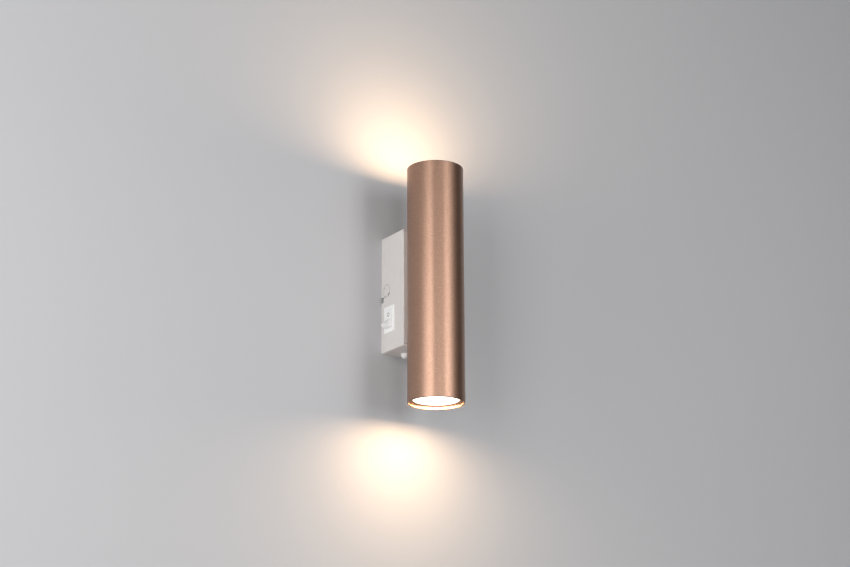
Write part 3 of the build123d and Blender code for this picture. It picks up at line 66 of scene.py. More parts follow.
# ---- node graphs
class Graph:
    """A node tree with short ways to add nodes and join them."""

    def __init__(self, tree: bpy.types.NodeTree) -> None:
        """Keep the tree that nodes are added to."""
        self.tree = tree

    def add(self, kind: str, sockets: dict | None = None, **settings: object) -> bpy.types.Node:
        """Add a node, set it and feed it.

        Args:
            kind: The node's type name in Blender.
            sockets: Input name or index to a value, or to an output socket that feeds it.
            **settings: Attributes of the node itself.

        Returns:
            The new node.
        """
        node = self.tree.nodes.new(kind)
        for key, value in settings.items():
            setattr(node, key, value)
        for key, value in (sockets or {}).items():
            if isinstance(value, Socket):
                self.tree.links.new(value, node.inputs[key])
            else:
                node.inputs[key].default_value = value
        return node

    def math(self, operation: str, first: object, second: object = 0.0) -> Socket:
        """Add a Math node.

        Args:
            operation: The operation's name in Blender.
            first: A number or an output socket.
            second: A number or an output socket.

        Returns:
            The node's output socket.
        """
        return self.add("ShaderNodeMath", {0: first, 1: second}, operation=operation).outputs[0]

    def blend(self, mask: object, low: object, high: object) -> Socket:
        """Mix two colours by a mask.

        Args:
            mask: 0 gives the low colour and 1 the high one.
            low: A colour of four numbers, or an output socket.
            high: The same.

        Returns:
            The mixed colour's socket.
        """
        return self.add("ShaderNodeMix", {0: mask, 6: low, 7: high}, data_type="RGBA").outputs[2]

    def spread(self, value: object, source: tuple, target: tuple) -> Socket:
        """Map a range of values onto another, smoothly.

        Args:
            value: An output socket.
            source: Lowest and highest value that come in.
            target: What they become.

        Returns:
            The mapped value's socket.
        """
        sockets = {0: value, 1: source[0], 2: source[1], 3: target[0], 4: target[1]}
        return self.add("ShaderNodeMapRange", sockets, interpolation_type="SMOOTHSTEP").outputs[0]

    def axes(self, vector: Socket) -> list[Socket]:
        """The three parts of a vector."""
        return list(self.add("ShaderNodeSeparateXYZ", {0: vector}).outputs)

    @cached_property
    def place(self) -> Socket:
        """Object coordinates from the frame's origin."""
        return self.add("ShaderNodeTexCoord").outputs["Object"]

    @cached_property
    def point(self) -> list[Socket]:
        """The same in three parts: across, in depth and up."""
        return self.axes(self.place)

    def length(self, first: Socket, second: Socket) -> Socket:
        """Add the length of a line from its two parts.

        Args:
            first: The line's part along one axis.
            second: Its part along the other.

        Returns:
            The length's socket.
        """
        square = self.math("ADD", self.math("POWER", first, 2.0), self.math("POWER", second, 2.0))
        return self.math("SQRT", square)

    def close(self, **values: Socket) -> bpy.types.NodeTree:
        """Finish a node group.

        Args:
            **values: What it puts out.

        Returns:
            The group.
        """
        for label in values:
            self.tree.interface.new_socket(label, in_out="OUTPUT", socket_type="NodeSocketFloat")
        self.add("NodeGroupOutput", values)
        return self.tree


def new_group(name: str, inputs: dict) -> tuple[Graph, bpy.types.NodeOutputs]:
    """Start a node group.

    Args:
        name: The group's name.
        inputs: Input name to its default number, or to None for a vector.

    Returns:
        Its graph and what comes into it, by name.
    """
    graph = Graph(bpy.data.node_groups.new(name, "ShaderNodeTree"))
    for label, default in inputs.items():
        kind = "NodeSocketVector" if default is None else "NodeSocketFloat"
        socket = graph.tree.interface.new_socket(label, in_out="INPUT", socket_type=kind)
        if default is not None:
            socket.default_value = default
    return graph, graph.add("NodeGroupInput").outputs


def emptied(owner: bpy.types.Material | bpy.types.World) -> Graph:
    """Clear the nodes of a material or a world.

    Args:
        owner: The material or the world.

    Returns:
        Its graph.
    """
    owner.use_nodes = True
    owner.node_tree.nodes.clear()
    return Graph(owner.node_tree)


def opaque(colour: Colour, factor: float = 1.0) -> tuple[float, float, float, float]:
    """A colour made lighter or darker by a factor, with full alpha."""
    red, green, blue = (min(1.0, part * factor) for part in colour)
    return red, green, blue, 1.0


class Effects:
    """Shader effects that several finishes share, each a node group that is made at its first use.

    Attributes:
        dust_facing: Upward part of a face's normal at which dust starts, and at which it is full.
        dust_patches: Dust patches in a metre.
        dust_noise: Noise at which a patch of dust is thinnest, and at which it is full.
        dust_thin: Share of the dust that is left where it is thinnest.
        rim_patches: Patches of the rim line in a metre of a rim.
        rim_noise: Noise at which the rim line is weakest, and at which it is strongest.
        rim_gain: Strength of the rim line at those two.
    """

    dust_facing: Pair = (0.35, 0.95)
    dust_patches: float = 160.0
    dust_noise: Pair = (0.3, 0.7)
    dust_thin: float = 0.25
    rim_patches: float = 420.0
    rim_noise: Pair = (0.35, 0.6)
    rim_gain: Pair = (1.1, 2.2)

    @cached_property
    def cloud(self) -> bpy.types.NodeTree:
        """Soft uneven patches of one size.

        Returns:
            A group that puts out a mask and a height.
        """
        inputs = {"Vector": None, "Size": 0.002, "Detail": 3.0, "Contrast": 1.0}
        graph, into = new_group("Cloud", inputs)
        scale = graph.math("DIVIDE", 1.0, into["Size"])
        sockets = {"Vector": into["Vector"], "Scale": scale, "Detail": into["Detail"]}
        noise = graph.add("ShaderNodeTexNoise", sockets).outputs[0]
        centred = graph.math("MULTIPLY", graph.math("SUBTRACT", noise, 0.5), into["Contrast"])
        mask = graph.add("ShaderNodeClamp", {0: graph.math("ADD", centred, 0.5)}).outputs[0]
        return graph.close(Mask=mask, Height=noise)

    @cached_property
    def flake(self) -> bpy.types.NodeTree:
        """Small cells of random brightness, as pigment flakes lie in a lacquer.

        Returns:
            A group that puts out a mask.
        """
        graph, into = new_group("Flake", {"Vector": None, "Size": 0.0003})
        sockets = {"Vector": into["Vector"], "Scale": graph.math("DIVIDE", 1.0, into["Size"])}
        cells = graph.add("ShaderNodeTexVoronoi", sockets, feature="F1").outputs["Color"]
        return graph.close(Mask=graph.axes(cells)[0])

    @cached_property
    def dust(self) -> bpy.types.NodeTree:
        """Thin dust on faces that look up, broken by soft patches.

        Returns:
            A group that puts out a mask.
        """
        graph, into = new_group("Dust", {"Vector": None, "Amount": 0.3})
        up = graph.axes(graph.add("ShaderNodeNewGeometry").outputs["Normal"])[2]
        facing = graph.spread(up, self.dust_facing, (0.0, 1.0))
        sockets = {"Vector": into["Vector"], "Scale": self.dust_patches, "Detail": 5.0}
        patches = graph.add("ShaderNodeTexNoise", sockets).outputs[0]
        broken = graph.spread(patches, self.dust_noise, (self.dust_thin, 1.0))
        share = graph.math("MULTIPLY", broken, facing)
        return graph.close(Mask=graph.math("MULTIPLY", share, into["Amount"]))

    @cached_property
    def rim_line(self) -> bpy.types.NodeTree:
        """A line along the two ends of a piece that stands upright, broken into patches.

        Returns:
            A group that puts out a mask.
        """
        inputs = {"Vector": None, "Low": 0.0, "High": 1.0, "Width": 0.0005}
        graph, into = new_group("Rim Line", inputs)
        height = graph.axes(into["Vector"])[2]
        from_low = graph.math("SUBTRACT", height, into["Low"])
        from_high = graph.math("SUBTRACT", into["High"], height)
        nearest = graph.math("MINIMUM", from_low, from_high)
        share = graph.math("SUBTRACT", 1.0, graph.math("DIVIDE", nearest, into["Width"]))
        sockets = {"Vector": into["Vector"], "Scale": self.rim_patches, "Detail": 4.0}
        patches = graph.add("ShaderNodeTexNoise", sockets).outputs[0]
        broken = graph.math("MULTIPLY", share, graph.spread(patches, self.rim_noise, self.rim_gain))
        return graph.close(Mask=graph.add("ShaderNodeClamp", {0: broken}).outputs[0])


effects = Effects()


# ---- finishes
@dataclass(frozen=True)
class Finish:
    """A finish with an uneven colour, an uneven gloss and a fine grain.

    Attributes:
        name: The material's name.
        colour: Its middle colour, linear.
        roughness: Its middle roughness.
        metallic: 1 for bare metal.
        drift: Share by which the colour varies, light to dark.
        contrast: How strongly the patches of colour differ.
        patch: Size of the patches of colour.
        grain: Size of the surface's grain.
        depth: Height of the grain.
        coat: Weight of a clear coat.
        coat_roughness: Roughness of the clear coat.
        dust: Amount of dust on faces that look up.
        dust_colour: Colour of the dust.
        specular: Specular level.
        gloss_patch: Size of the patches of gloss, as a multiple of the patches of colour.
        gloss_contrast: How strongly the patches of gloss differ.
        gloss_drift: Share by which the roughness varies.
    """

    name: str
    colour: Colour
    roughness: float
    metallic: float = 0.0
    drift: float = 0.06
    contrast: float = 2.0
    patch: float = 0.006
    grain: float = 0.0006
    depth: float = 0.00001
    coat: float = 0.0
    coat_roughness: float = 0.2
    dust: float = 0.0
    dust_colour: Colour = (0.42, 0.40, 0.37)
    specular: float = 0.5
    gloss_patch: float = 1.7
    gloss_contrast: float = 1.6
    gloss_drift: float = 0.12

    def material(self) -> bpy.types.Material:
        """Make the material.

        Returns:
            A material whose colour, roughness and grain come from its nodes.
        """
        made = bpy.data.materials.new(self.name)
        graph = emptied(made)
        colour = self.colour_of(graph)
        if self.dust:
            dust = self.effect(graph, effects.dust, Amount=self.dust)
            colour = graph.blend(dust["Mask"], colour, opaque(self.dust_colour))
        gloss = self.cloud(graph, self.patch * self.gloss_patch, self.gloss_contrast)["Mask"]
        smooth, rough = self.roughness * (1 - self.gloss_drift), self.roughness * (1 + self.gloss_drift)
        height = self.cloud(graph, self.grain, 1.0)["Height"]
        bump = graph.add("ShaderNodeBump", {"Strength": 1.0, "Distance": self.depth, "Height": height})
        sockets = {
            "Base Color": colour,
            "Metallic": self.metallic,
            "Roughness": graph.spread(gloss, (0.0, 1.0), (smooth, min(1.0, rough))),
            "Normal": bump.outputs[0],
            "Specular IOR Level": self.specular,
            "Coat Weight": self.coat,
            "Coat Roughness": self.coat_roughness,
            **self.light_of(graph),
        }
        shader = graph.add("ShaderNodeBsdfPrincipled", sockets)
        graph.add("ShaderNodeOutputMaterial", {"Surface": shader.outputs[0]})
        return made

    def effect(self, graph: Graph, group: bpy.types.NodeTree, **numbers: float) -> bpy.types.NodeOutputs:
        """Add a shared effect to a graph.

        Args:
            graph: The material's graph.
            group: The effect's group.
            **numbers: The effect's inputs.

        Returns:
            What the effect puts out, by name.
        """
        return graph.add("ShaderNodeGroup", {"Vector": graph.place, **numbers}, node_tree=group).outputs

    def cloud(self, graph: Graph, size: float, contrast: float) -> bpy.types.NodeOutputs:
        """Patches of one size, and how strongly they differ."""
        return self.effect(graph, effects.cloud, Size=size, Contrast=contrast)

    def light_of(self, graph: Graph) -> dict[str, object]:
        """What feeds the shader's light, on surfaces that are lit."""
        return {}

    def colour_of(self, graph: Graph) -> Socket:
        """Add the surface's colour, before dust.

        Args:
            graph: The material's graph.

        Returns:
            The colour's socket.
        """
        mask = self.cloud(graph, self.patch, self.contrast)["Mask"]
        low, high = opaque(self.colour, 1 - self.drift), opaque(self.colour, 1 + self.drift)
        return graph.blend(mask, low, high)


@dataclass(frozen=True)
class MetallicLacquer(Finish):
    """Satin lacquer with metal flakes in it, with a dark line along its two cut rims.

    Attributes:
        flake: Size of a flake.
        sparkle: Share by which a flake differs from its neighbours.
        flake_shades: The darkest and the lightest flake, as multiples of the colour.
        rims: Lowest and highest point of the piece.
        rim_width: Width of the dark line along a rim.
        rim: Colour of the rim.
    """

    flake: float = 0.0007
    sparkle: float = 0.16
    flake_shades: Pair = (0.35, 1.9)
    rims: Pair = (0.0, 1.0)
    rim_width: float = 0.0009
    rim: Colour = (0.15, 0.085, 0.058)

    def colour_of(self, graph: Graph) -> Socket:
        """Add the lacquer's colour with its flakes and dark rims.

        Args:
            graph: The material's graph.

        Returns:
            The colour's socket.
        """
        base = super().colour_of(graph)
        flake = self.effect(graph, effects.flake, Size=self.flake)
        shades = (opaque(self.colour, shade) for shade in self.flake_shades)
        dark, light = (graph.blend(self.sparkle, base, shade) for shade in shades)
        flaked = graph.blend(flake["Mask"], dark, light)
        low, high = self.rims
        # a dark line along both ends of the tube, broken into patches
        rim_mask = self.effect(graph, effects.rim_line, Low=low, High=high, Width=self.rim_width)
        return graph.blend(rim_mask["Mask"], flaked, opaque(self.rim))


@dataclass(frozen=True)
class PressedSheet(Finish):
    """Powder coat on pressed sheet, with painted shade in its pressed lines and a darker painted shadow
    in its slit and notch.

    Attributes:
        side: The sheet's left face, across.
        front: The sheet's front face, in depth.
        side_reach: Depth below the left face to which its painted shade reaches.
        front_reach: The same below the front face.
        centre: The knock-out's centre in depth and height.
        radius: Radius of its groove.
        groove: Half the width of a pressed line.
        slit: First and last angle of the groove's sheared stretch, in degrees.
        sheared: Half the width of that stretch, over which its walls get the painted shadow.
        notch: The notch's depth, middle height and half height.
        dimple: The punched mark's depth, height and radius.
        seam: Height of the seams of its folded ends, above and below the middle.
        shade: Share of the colour that is left in a pressed line, as painted shade.
        dimple_share: How strong the painted shade in the punched mark is, against that in a pressed
            line.
        raw: Share of the colour that is left on the walls of the slit and the notch, as painted shadow.
    """

    side: float = -0.021
    front: float = -0.0435
    side_reach: float = 0.0011
    front_reach: float = 0.0009
    centre: Pair = (-0.0099, 0.0035)
    radius: float = 0.0068
    groove: float = 0.0004
    slit: Pair = (-62.0, -30.0)
    sheared: float = 0.0008
    notch: Triple = (-0.0043, -0.0057, 0.0029)
    dimple: Triple = (-0.0059, 0.0067, 0.0012)
    seam: float = 0.06215
    shade: float = 0.55
    dimple_share: float = 0.6
    raw: float = 0.10

    def colour_of(self, graph: Graph) -> Socket:
        """Add the coat's colour, with painted shade in the pressed lines and a darker painted shadow on
        the walls of the slit and notch.

        Args:
            graph: The material's graph.

        Returns:
            The colour's socket.
        """
        base = super().colour_of(graph)
        across, depth, up = graph.point
        on_side = graph.math("LESS_THAN", across, self.side + self.side_reach)
        on_front = graph.math("LESS_THAN", depth, self.front + self.front_reach)
        # painted shade: the seams on the front and the pressed lines, ring and punched mark on the side
        # are darkened in the colour
        from_seam = graph.math("SUBTRACT", graph.math("ABSOLUTE", up), self.seam)
        folds = graph.math("MULTIPLY", self.line(graph, from_seam), on_front)
        lines = graph.math("MULTIPLY", self.side_groove_shade(graph), on_side)
        pressed = graph.math("MAXIMUM", lines, folds)
        shaded = graph.blend(pressed, base, opaque(self.colour, self.shade))
        # painted shadow: the walls of the slit and the notch are darkened further in the colour
        bare = graph.math("MULTIPLY", self.raw_walls(graph), on_side)
        return graph.blend(bare, shaded, opaque(self.colour, self.raw))

    def line(self, graph: Graph, off: Socket) -> Socket:
        """The mask of a pressed line's painted shade, from the distance to the line's middle, on either
        side of it.
        """
        return graph.spread(graph.math("ABSOLUTE", off), (self.groove / 2, self.groove), (1.0, 0.0))

    def from_circle(self, graph: Graph, centre: Pair, radius: float) -> Socket:
        """Add the distance out of a circle on the sheet's side, negative inside it.

        Args:
            graph: The material's graph.
            centre: The circle's centre in depth and height.
            radius: The circle's radius.

        Returns:
            The distance's socket.
        """
        _, depth, up = graph.point
        back, over = graph.math("SUBTRACT", depth, centre[0]), graph.math("SUBTRACT", up, centre[1])
        return graph.math("SUBTRACT", graph.length(back, over), radius)

    def side_groove_shade(self, graph: Graph) -> Socket:
        """Add the painted shade's mask for the knock-out's groove, the line from its foot to the notch,
        and its punched mark.

        Args:
            graph: The material's graph.

        Returns:
            The mask's socket.
        """
        _, depth, up = graph.point
        ring = self.line(graph, self.from_circle(graph, self.centre, self.radius))
        foot = self.line(graph, graph.math("SUBTRACT", up, self.centre[1] - self.radius))
        foot = graph.math("MULTIPLY", foot, graph.math("GREATER_THAN", depth, self.centre[0]))
        *centre, radius = self.dimple
        dimple = graph.math("LESS_THAN", self.from_circle(graph, centre, radius), 0.0)
        dimple = graph.math("MULTIPLY", dimple, self.dimple_share)
        return graph.math("MAXIMUM", graph.math("MAXIMUM", ring, foot), dimple)

    def raw_walls(self, graph: Graph) -> Socket:
        """Add the painted shadow's mask for the sheared stretch and for the notch.

        Args:
            graph: The material's graph.

        Returns:
            The mask's socket.
        """
        _, depth, up = graph.point
        forward = graph.math("SUBTRACT", self.centre[0], depth)
        angle = graph.math("ARCTAN2", graph.math("SUBTRACT", up, self.centre[1]), forward)
        first, last = (math.radians(degrees) for degrees in self.slit)
        after, before = graph.math("GREATER_THAN", angle, first), graph.math("LESS_THAN", angle, last)
        off = graph.math("ABSOLUTE", self.from_circle(graph, self.centre, self.radius))
        near = graph.math("LESS_THAN", off, self.sheared)
        stretch = graph.math("MULTIPLY", graph.math("MULTIPLY", after, before), near)
        rear, middle, half = self.notch
        from_middle = graph.math("ABSOLUTE", graph.math("SUBTRACT", up, middle))
        beside = graph.math("LESS_THAN", from_middle, half)
        notch = graph.math("MULTIPLY", beside, graph.math("GREATER_THAN", depth, rear))
        return graph.math("MAXIMUM", stretch, notch)


@dataclass(frozen=True)
class PairInsulation(Finish):
    """Insulation of two leads that lie left and right of the middle, each in its own colour.

    Attributes:
        left: Colour of the lead on the left.
    """

    left: Colour = (0.02, 0.10, 0.36)

    def colour_of(self, graph: Graph) -> Socket:
        """Add one colour left of the middle and the other right of it.

        Args:
            graph: The material's graph.

        Returns:
            The colour's socket.
        """
        right = super().colour_of(graph)
        side = graph.math("GREATER_THAN", graph.point[0], 0.0)
        return graph.blend(side, opaque(self.left), right)


@dataclass(frozen=True)
class StripedInsulation(Finish):
    """Insulation in two colours that lie in slanting stripes.

    Attributes:
        stripe: The second colour.
        pitch: Height of one pair of stripes.
        slant: Rise of a stripe for its way across.
        ground_share: Share of the pitch that the first colour takes.
    """

    stripe: Colour = (0.02, 0.22, 0.05)
    pitch: float = 0.0036
    slant: float = 0.8
    ground_share: float = 0.62

    def colour_of(self, graph: Graph) -> Socket:
        """Add two colours in slanting bands.

        Args:
            graph: The material's graph.

        Returns:
            The colour's socket.
        """
        ground = super().colour_of(graph)
        across, _, up = graph.point
        climb = graph.math("ADD", up, graph.math("MULTIPLY", across, self.slant))
        part = graph.math("FRACT", graph.math("DIVIDE", climb, self.pitch))
        on_stripe = graph.math("GREATER_THAN", part, self.ground_share)
        return graph.blend(on_stripe, ground, opaque(self.stripe))


@dataclass(frozen=True)
class LitPlastic(Finish):
    """Clear or white plastic with light behind it.

    Attributes:
        glow: Colour of the light.
        strength: Strength of the light.
        axis: Place of the lamp's axis, across and in depth.
        reach: Distance from the axis at which the light has faded.
        chips: Number of light sources round the axis.
        full_share: Share of the reach within which the light is full.
        edge_share: Share of the light that is left at the reach.
        gap_share: Share of the light that is left between two sources.
        faded: Brightness of the glow where no light is left.
    """

    glow: Colour = (1.0, 0.90, 0.74)
    strength: float = 4.0
    axis: Pair = (0.0, 0.0)
    reach: float = 0.0235
    chips: int = 6
    full_share: float = 0.55
    edge_share: float = 0.55
    gap_share: float = 0.88
    faded: float = 0.30

    def light_of(self, graph: Graph) -> dict[str, object]:
        """Add light that is strongest over each source and falls towards the edge.

        Args:
            graph: The material's graph.

        Returns:
            The colour and the strength that feed the shader's light.
        """
        across, depth, _ = graph.point
        right = graph.math("SUBTRACT", across, self.axis[0])
        back = graph.math("SUBTRACT", depth, self.axis[1])
        full = self.reach * self.full_share
        fall = graph.spread(graph.length(right, back), (full, self.reach), (1.0, self.edge_share))
        turn = graph.math("MULTIPLY", graph.math("ARCTAN2", back, right), float(self.chips))
        spots = graph.spread(graph.math("COSINE", turn), (-1.0, 1.0), (self.gap_share, 1.0))
        share = graph.math("MULTIPLY", fall, spots)
        warm = graph.blend(share, opaque(self.glow, self.faded), opaque(self.glow))
        return {"Emission Color": warm, "Emission Strength": self.strength}


# ---- new pieces
def add_object(name: str, data: bpy.types.ID) -> bpy.types.Object:
    """Add an object to the scene, at the frame's origin.

    Args:
        name: Its name.
        data: Its mesh, light or camera.

    Returns:
        The new object.
    """
    made = bpy.data.objects.new(name, data)
    bpy.context.scene.collection.objects.link(made)
    return made


def mesh_of(shape: bmesh.types.BMesh, name: str) -> bpy.types.Mesh:
    """Turn a finished shape into a mesh.

    Args:
        shape: The shape, which is freed.
        name: The mesh's name.

    Returns:
        The mesh.
    """
    mesh = bpy.data.meshes.new(name)
    shape.to_mesh(mesh)
    shape.free()
    return mesh


def finish_piece(shape: bmesh.types.BMesh, name: str, body: str) -> bpy.types.Object:
    """Turn a finished shape into a piece that rides on a body.

    Args:
        shape: The shape, in the frame's coordinates.
        name: The piece's name.
        body: The body that it rides on.

    Returns:
        The new object, with its origin at the frame's origin.
    """
    bmesh.ops.remove_doubles(shape, verts=shape.verts, dist=SAME_POINT)
    bmesh.ops.recalc_face_normals(shape, faces=shape.faces)
    piece = add_object(name, mesh_of(shape, name))
    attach(piece, body)
    log.info("piece %s on body %s, %d faces", name, body, len(piece.data.polygons))
    return piece


def smooth_by_angle(piece: bpy.types.Object, degrees: float) -> None:
    """Shade a piece smooth, with its edges sharp above an angle.

    Args:
        piece: The object to shade.
        degrees: The angle from which an edge stays sharp.
    """
    piece.data.shade_smooth()
    shape = bmesh.new()
    shape.from_mesh(piece.data)
    for edge in shape.edges:
        edge.smooth = edge.calc_face_angle(0.0) < math.radians(degrees)
    shape.to_mesh(piece.data)
    shape.free()


class Side(Enum):
    """The two ends of the tube."""

    UPPER = 1
    LOWER = -1

    @property
    def prefix(self) -> str:
        """Start of the names of this end's nodes."""
        return self.name.lower()


@dataclass
class RockerMarks:
    """The two marks moulded on the rocker: a ring on its upper half and a bar on its lower half.

    Attributes:
        valley: Height of the rocker's valley above its pivot.
        tip_radius: Distance from the pivot to a tip.
        tip_angle: Angle of a tip above the face, in degrees.
        ring_radius: Outer radius of the ring.
        line: Width of the marks' line.
        bar: Length of the bar.
        proud: Height of the marks above the rocker.
        segments: Steps round the ring.
        colour: Colour of the marks.
    """

    valley: float = 0.0019
    tip_radius: float = 0.0096
    tip_angle: float = 31.0
    ring_radius: float = 0.0023
    line: float = 0.0007
    bar: float = 0.0056
    proud: float = 0.00006
    segments: int = 48
    colour: Colour = (0.20, 0.19, 0.185)

    def faces(self) -> dict[str, Matrix]:
        """Places of the rocker's two faces.

        Returns:
            For each half, a matrix whose x runs from the valley to the tip and z points out of the face.
        """
        joint = next(j for j in frame["joints"] if j["name"] == "rocker_tilt")
        pivot = Vector(joint["pos_m"])
        tilt = math.radians(-joint["range_deg"][1] / 2)
        up = Vector((-math.sin(tilt), 0.0, math.cos(tilt)))
        out = Vector((-math.cos(tilt), 0.0, -math.sin(tilt)))
        tip = math.radians(self.tip_angle)
        places = {}
        for half, sign in (("ring", 1), ("bar", -1)):
            start = pivot + out * self.valley
            end = pivot + self.tip_radius * (sign * math.cos(tip) * up + math.sin(tip) * out)
            along = (end - start).normalized()
            side = Vector((0.0, 1.0, 0.0))
            normal = along.cross(side)
            if normal.dot(out) < 0:
                side, normal = -side, -normal
            turn = Matrix((along, side, normal)).transposed().to_4x4()
            places[half] = Matrix.Translation((start + end) / 2) @ turn
        return places

    def build(self) -> None:
        """Make both marks and dress them."""
        dark = Finish("mark_grey", self.colour, 0.5, drift=0.1, patch=0.001).material()
        flat = {"ring": self.flat_ring(), "bar": self.flat_bar()}
        for mark, place in self.faces().items():
            self.raise_and_place(flat[mark], place)
            piece = finish_piece(flat[mark], f"rocker_{mark}_mark", "rocker")
            piece.data.materials.append(dark)

    def flat_ring(self) -> bmesh.types.BMesh:
        """Make the ring, flat in its own plane.

        Returns:
            The mesh.
        """
        shape = bmesh.new()
        edges = set()
        for radius in (self.ring_radius, self.ring_radius - self.line):
            loop = bmesh.ops.create_circle(shape, segments=self.segments, radius=radius)["verts"]
            edges.update(edge for point in loop for edge in point.link_edges)
        bmesh.ops.bridge_loops(shape, edges=list(edges))
        return shape

    def flat_bar(self) -> bmesh.types.BMesh:
        """Make the bar, flat in its own plane.

        Returns:
            The mesh.
        """
        shape = bmesh.new()
        bmesh.ops.create_grid(shape, x_segments=6, y_segments=1, size=0.5)
        bmesh.ops.scale(shape, vec=(self.bar, self.line, 1.0), verts=shape.verts)
        return shape

    def raise_and_place(self, shape: bmesh.types.BMesh, place: Matrix) -> None:
        """Give a flat mark its thickness and set it on its face.

        Args:
            shape: The flat mark, in its own plane.
            place: The face's matrix.
        """
        raised = bmesh.ops.extrude_face_region(shape, geom=list(shape.faces))
        top = [item for item in raised["geom"] if isinstance(item, bmesh.types.BMVert)]
        bmesh.ops.translate(shape, verts=top, vec=(0.0, 0.0, self.proud))
        bmesh.ops.transform(shape, matrix=place, verts=shape.verts)


@dataclass
class LensOptic:
    """A lamp's front lens, with shallow rings moulded into it.

    Attributes:
        side: The tube's end that it is in.
        ring_pitch: Width of one ring.
        ring_depth: Depth of one ring.
        plain_edge: Width of the plain edge under the lamp's front ring.
        segments: Steps round the lens.
        sharp: Angle from which an edge of a ring stays sharp, in degrees.
    """

    side: Side
    ring_pitch: float = 0.0019
    ring_depth: float = 0.00035
    plain_edge: float = 0.0016
    segments: int = 96
    sharp: float = 12.0

    def build(self) -> bpy.types.Object:
        """Spin the lens's profile round the lamp's axis.

        Returns:
            The lens, which stands for its node.
        """
        node = f"{self.side.prefix}_lens"
        low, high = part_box(node)
        centre = (low + high) / 2
        radius = (high.x - low.x) / 2
        front, back = (high.z, low.z) if self.side is Side.UPPER else (low.z, high.z)
        inward = -self.side.value * self.ring_depth
        profile = [(radius, back), (radius, front)]
        ring_radius = radius - self.plain_edge
        while ring_radius > self.ring_pitch:
            profile.append((ring_radius, front))
            ring_radius -= self.ring_pitch
            profile.append((ring_radius, front + inward))
        profile.append((0.0, front + inward / 2))
        shape = bmesh.new()
        points = [shape.verts.new((centre.x + r, centre.y, z)) for r, z in profile]
        bottom = shape.verts.new((centre.x, centre.y, back))
        edges = [shape.edges.new(pair) for pair in zip([bottom, *points], points)]
        bmesh.ops.spin(
            shape, geom=[bottom, *points, *edges], cent=centre, axis=(0, 0, 1), angle=math.tau,
            steps=self.segments, use_merge=True,
        )
        lens = finish_piece(shape, f"{node}_optic", f"{self.side.prefix}_lamp")
        smooth_by_angle(lens, self.sharp)
        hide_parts(node)
        return lens


